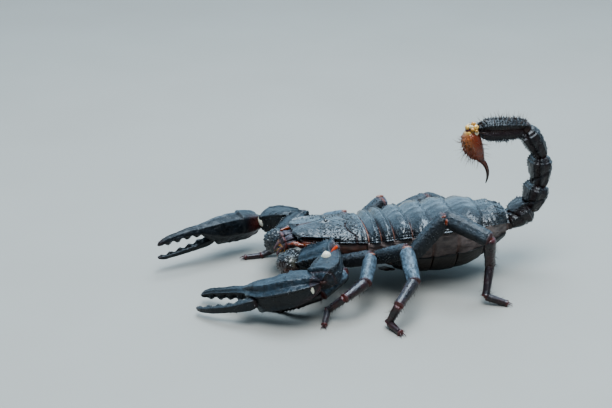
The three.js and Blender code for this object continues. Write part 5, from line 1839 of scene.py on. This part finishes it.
TOOTH_TREE = tooth_tree()
print("tooth row tree:", len(TOOTH_TREE.nodes), "nodes")

# %% [markdown]
# ## Where grains, teeth and bristles grow
# Grains are thickest on the shield's flanks, the sides of the back plates, the
# claw arms and the tail. Rows of teeth run along the tail's and the arms' keels and
# the claws' facing edges. Bristles are long and rust-brown round the tail's end,
# short and stiff on the feet, and orange under the mouth claws.

# %% Grains
SHIELD = ["head_shield"]
BACK = [f"back_plate_{number}" for number in range(1, 8)]
ARMS = [f"arm_{side}_{part}" for side in SIDES for part in ("shoulder", "upper_arm", "forearm")]
CLAWS = [f"claw_{side}_{part}" for side in SIDES for part in ("hand", "finger")]
CURL = [f"tail_ring_{number}" for number in range(1, 6)]
THIGHS = [f"leg_{side}_{number}_thigh" for side, number in LEGS]
# The pieces that carry the grains, the gap between grains, and the smallest and the largest grain.
GRAIN_BEDS = {
    "shield_grains": (SHIELD, 0.46, 0.13, 0.27),
    "plate_grains": (BACK, 0.44, 0.08, 0.16),
    "arm_grains": (ARMS, 0.48, 0.11, 0.24),
    "claw_grains": (CLAWS, 0.62, 0.09, 0.19),
    "tail_grains": (CURL, 0.46, 0.1, 0.22),
    "thigh_grains": (THIGHS, 0.46, 0.08, 0.19),
}
for name, (names, gap, smallest, largest) in GRAIN_BEDS.items():
    sizes = {"Gap": gap * MM, "Thickest": 1.6 / (gap * MM) ** 2, "Smallest": smallest * MM,
             "Largest": largest * MM, "Seed": 7, "Finish": SHELL["grain"]}
    grow(name, make_bed(names), GRAIN_TREE, sizes)
print("grains:", {name: PIECES[name] for name in GRAIN_BEDS})

# %% Bristles
BRISTLE_GLOSS = {"Roughness": 0.35}
RUST_BRISTLE = plain_finish("rust_bristle", 1.2, (50, 18, 8), (220, 90, 35), BRISTLE_GLOSS)
DARK_BRISTLE = plain_finish("dark_bristle", 1.2, (8, 5, 4), (50, 22, 14), BRISTLE_GLOSS)
GOLD_BRISTLE = plain_finish("gold_bristle", 1.2, (500, 170, 20), (850, 420, 60), BRISTLE_GLOSS)
FEET = [f"leg_{side}_{number}_lower" for side, number in LEGS]
UPPER_LEGS = [f"leg_{side}_{number}_{part}" for side, number in LEGS for part in ("thigh", "shin_guard")]
# The pieces that carry the bristles, millions to a square metre, the shortest and the
# longest, girth and lean as shares of the length, and finish.
BRISTLE_BEDS = {
    "tail_end_bristles": (["tail_ring_5", "venom_bulb"], 2.4, 0.9, 2.6, 0.022, 0.25, RUST_BRISTLE),
    "tail_bristles": (CURL[:4], 0.7, 0.6, 1.4, 0.022, 0.4, DARK_BRISTLE),
    "foot_bristles": (FEET, 1.3, 0.5, 1.3, 0.045, 0.9, DARK_BRISTLE),
    "thigh_bristles": (UPPER_LEGS, 0.35, 0.4, 0.9, 0.04, 0.8, DARK_BRISTLE),
    "claw_bristles": (CLAWS, 0.35, 0.5, 1.1, 0.035, 0.7, DARK_BRISTLE),
    "arm_bristles": (ARMS, 0.35, 0.4, 0.9, 0.04, 0.6, RUST_BRISTLE),
    "mouth_bristles": (["mouth_claw_left", "mouth_claw_right"], 2.6, 0.7, 1.6, 0.035, 1.4, GOLD_BRISTLE),
}
for name, (names, thick, shortest, longest, girth, lean, finish) in BRISTLE_BEDS.items():
    sizes = {"Per Square Metre": thick * 1e6, "Shortest": shortest * MM, "Longest": longest * MM,
             "Root Radius": girth, "Lean": lean, "Stray": 0.35, "Bend": 0.25, "Seed": 11, "Finish": finish}
    grow(name, make_bed(names), BRISTLE_TREE, sizes, unwrap=True)
print("bristles:", {name: PIECES[name] for name in BRISTLE_BEDS})

# %% Lines for teeth


def keel_line(name, angle, start, end, size, tilt, which=0, swell=0.0):
    """A line of points along one keel of a piece, with an aim and a size at each."""
    grid = GRIDS[name][which][0]
    rows, columns = grid.shape[:2]
    stretch = slice(int(start * (rows - 1)), int(end * (rows - 1)) + 1)
    column = int(round(angle / 360 * columns)) % columns
    points = grid[stretch, column]
    aim = outward(grid)[stretch, column] + tilt * unit(np.gradient(grid, axis=0)[stretch, column])
    share = np.linspace(0, 1, len(points))
    return points, aim, size * (0.75 + 0.25 * np.sin(np.pi * share) + swell * share**3)


def lines_bed(lines):
    """One mesh of open lines that carries aim and size."""
    points, aim, size = (np.concatenate(values) for values in zip(*lines))
    ends = np.cumsum([len(line[0]) for line in lines])
    starts = [0, *ends[:-1]]
    edges = [(k, k + 1) for a, b in zip(starts, ends) for k in range(a, b - 1)]
    mesh = bpy.data.meshes.new("tooth_lines")
    mesh.from_pydata(to_scene(points).tolist(), edges, [])
    write_attribute(mesh, "aim", aim)
    write_attribute(mesh, "size", size * MM)
    return add_object("tooth_lines", mesh)


print("points on the sting's side keel:", len(keel_line("sting_point", 0, 0.1, 0.9, 1, 0)[0]))

# %% Rows of teeth
# Keels by their degrees round the part, each with the size of its teeth.
LAST_RING_TEETH = {55: 0.62, 125: 0.68, 214: 0.5, 326: 0.5, 270: 0.55, 245: 0.5, 295: 0.5, 232: 0.4, 308: 0.4}
UPPER_ARM_TEETH = {42: 0.34, 176: 0.5, 228: 0.55, 318: 0.34, 202: 0.45}
HAND_TEETH = {-28: 0.42, -12: 0.28, -40: 0.28}
FINGER_TEETH = {150: 0.42, 164: 0.28, 136: 0.28}
tail_lines = [keel_line(CURL[4], angle, 0.05, 0.95, size, 0.3) for angle, size in LAST_RING_TEETH.items()]
for name in CURL[:4]:
    tail_lines += [keel_line(name, angle, 0.15, 0.9, 0.3, 0.4, swell=0.6) for angle in (50, 130)]
    tail_lines += [keel_line(name, angle, 0.12, 0.88, 0.22, 0.3) for angle in (166, 14, 214, 326)]
arm_lines = [keel_line(f"arm_{side}_upper_arm", angle, 0.08, 0.9, size, 0.2)
             for side in SIDES for angle, size in UPPER_ARM_TEETH.items()]
claw_lines = [keel_line(f"claw_{side}_{part}", angle, start, 0.985, size, 0.1)
              for part, start, teeth in (("hand", 0.6, HAND_TEETH), ("finger", 0.16, FINGER_TEETH))
              for side in SIDES for angle, size in teeth.items()]
thigh_lines = [keel_line(name, 270, 0.1, 0.9, 0.2, 0.3, which=1) for name in THIGHS]
spine_lines = [keel_line(name, angle, 0.12, 0.96, 0.62, 0.9, which=part)
               for name in FEET for part in (1, 2) for angle in (245, 295)]
spine_lines += [keel_line(name, angle, 0.7, 0.97, 0.6, 0.9) for name in FEET for angle in (235, 305)]
# Lines, spacing, width and lift of the teeth, and their finish.
TOOTH_ROWS = {
    "tail_teeth": (tail_lines, 0.62, 0.85, 0.28, SHELL["black"]),
    "arm_teeth": (arm_lines, 0.62, 0.95, 0.28, SHELL["black"]),
    "claw_teeth": (claw_lines, 0.36, 1.0, 0.35, SHELL["black"]),
    "thigh_teeth": (thigh_lines, 0.5, 1.0, 0.3, SHELL["black"]),
    "foot_spines": (spine_lines, 0.85, 0.32, 0.2, SHELL["sting"]),
}
for name, (lines, spacing, width, lift, finish) in TOOTH_ROWS.items():
    sizes = {"Spacing": spacing * MM, "Width": width, "Lift": lift, "Seed": 3, "Finish": finish}
    grow(name, lines_bed(lines), TOOTH_TREE, sizes)
print("teeth:", {name: PIECES[name] for name in TOOTH_ROWS})

# %% [markdown]
# ## Floor, light and camera
# A pale floor and two large soft lamps overhead, in a sky that is brightest low
# down and on one side, give the long blue-grey sheen that upward faces of black
# shell show, and leave the lower faces dark. The weaker lamp stands on the far side
# and draws sparks from the grains. The camera looks a little down on the animal's
# left side.

# %% Stage
CAMERA_AZIMUTH = 77.63
CAMERA_ELEVATION = 20.68
CAMERA_ROLL = 0.6
CAMERA_AIM = (-8.1, 5.4, 16.0)
CAMERA_DISTANCE = 330
CAMERA_FIELD = 24.0
FLOOR_HALF = 4.0
# Heights in the sky, from the horizon at 0 to overhead at 1, and their colours.
SKY_BAND = [(0.12, (0.56, 0.82, 1.02)), (0.36, (0.78, 1.14, 1.46)), (0.6, (0.38, 0.55, 0.7))]
SKY_LOW, SKY_TOP = (0.3, 0.36, 0.4), (0.22, 0.31, 0.39)
SKY_STRENGTH = (1.35, 0.3)


def make_floor():
    mesh = bpy.data.meshes.new("floor")
    corners = [(x * FLOOR_HALF, y * FLOOR_HALF, 0) for x, y in ((-1, -1), (1, -1), (1, 1), (-1, 1))]
    mesh.from_pydata(corners, [], [(0, 1, 2, 3)])
    mesh.materials.append(plain_finish("pale_floor", 0.02, (310, 285, 250), (350, 325, 290),
                                       {"Roughness": 0.8}, detail=3.0, start=0, end=1))
    add_object("floor", mesh)


def make_lamp(name, place, size, watts, colour):
    """A soft round lamp that looks at the middle of the animal."""
    lamp = bpy.data.lights.new(name, "AREA")
    lamp.shape = "DISK"
    lamp.size, lamp.energy, lamp.color = size, watts, colour
    light = add_object(name, lamp)
    light.location = place
    light.rotation_euler = (Vector((0, 0, 0.01)) - Vector(place)).to_track_quat("-Z", "Y").to_euler()


def make_camera():
    (north, east), (level, rise) = circle(CAMERA_AZIMUTH), circle(CAMERA_ELEVATION)
    back = Vector((east * level, -north * level, rise))
    camera = add_object("camera", bpy.data.cameras.new("camera"))
    camera.location = Vector(to_scene(CAMERA_AIM)) + back * CAMERA_DISTANCE * MM
    camera.rotation_euler = back.to_track_quat("Z", "Y").to_euler()
    camera.rotation_euler.rotate_axis("Z", math.radians(CAMERA_ROLL))
    camera.data.sensor_fit = "HORIZONTAL"
    camera.data.angle = math.radians(CAMERA_FIELD)
    camera.data.clip_start = 0.01
    bpy.context.scene.camera = camera


def make_sky():
    """A sky with a bright band low down, stronger on one side than on the other."""
    world = bpy.data.worlds.new("sky")
    world.use_nodes = True
    tree = world.node_tree
    parts = node(tree, "ShaderNodeSeparateXYZ", {0: node(tree, "ShaderNodeTexCoord")["Generated"]})
    band = tree.nodes.new("ShaderNodeValToRGB")
    fill(tree, band, {"Fac": parts["Z"]})
    ramp = band.color_ramp.elements
    for stop, height, colour in ((ramp[0], 0.0, SKY_LOW), (ramp[1], 1.0, SKY_TOP)):
        stop.position, stop.color = height, (*colour, 1)
    for height, colour in SKY_BAND:
        ramp.new(height).color = (*colour, 1)
    strength = spread(tree, parts["X"], *SKY_STRENGTH, -0.35, 0.45)
    fill(tree, tree.nodes["Background"], {"Color": band.outputs["Color"], "Strength": strength})
    bpy.context.scene.world = world
    bpy.context.scene.view_settings.look = "AgX - Medium High Contrast"


make_floor()
make_sky()
make_lamp("wide_soft", (0.2, -0.05, 0.56), 0.4, 4.2, (0.88, 0.98, 1.06))
make_lamp("sparkle", (-0.12, 0.09, 0.48), 0.34, 2.3, (0.74, 0.92, 1.08))
make_camera()
print("stage ready")

# %% [markdown]
# ## Last look
# The model keeps within the frame's box but for a little proud hair. The last cell
# prints how many pieces and triangles it has.

# %% Sizes and finish
print("pieces:", len(PIECES), "triangles:", sum(PIECES.values()))
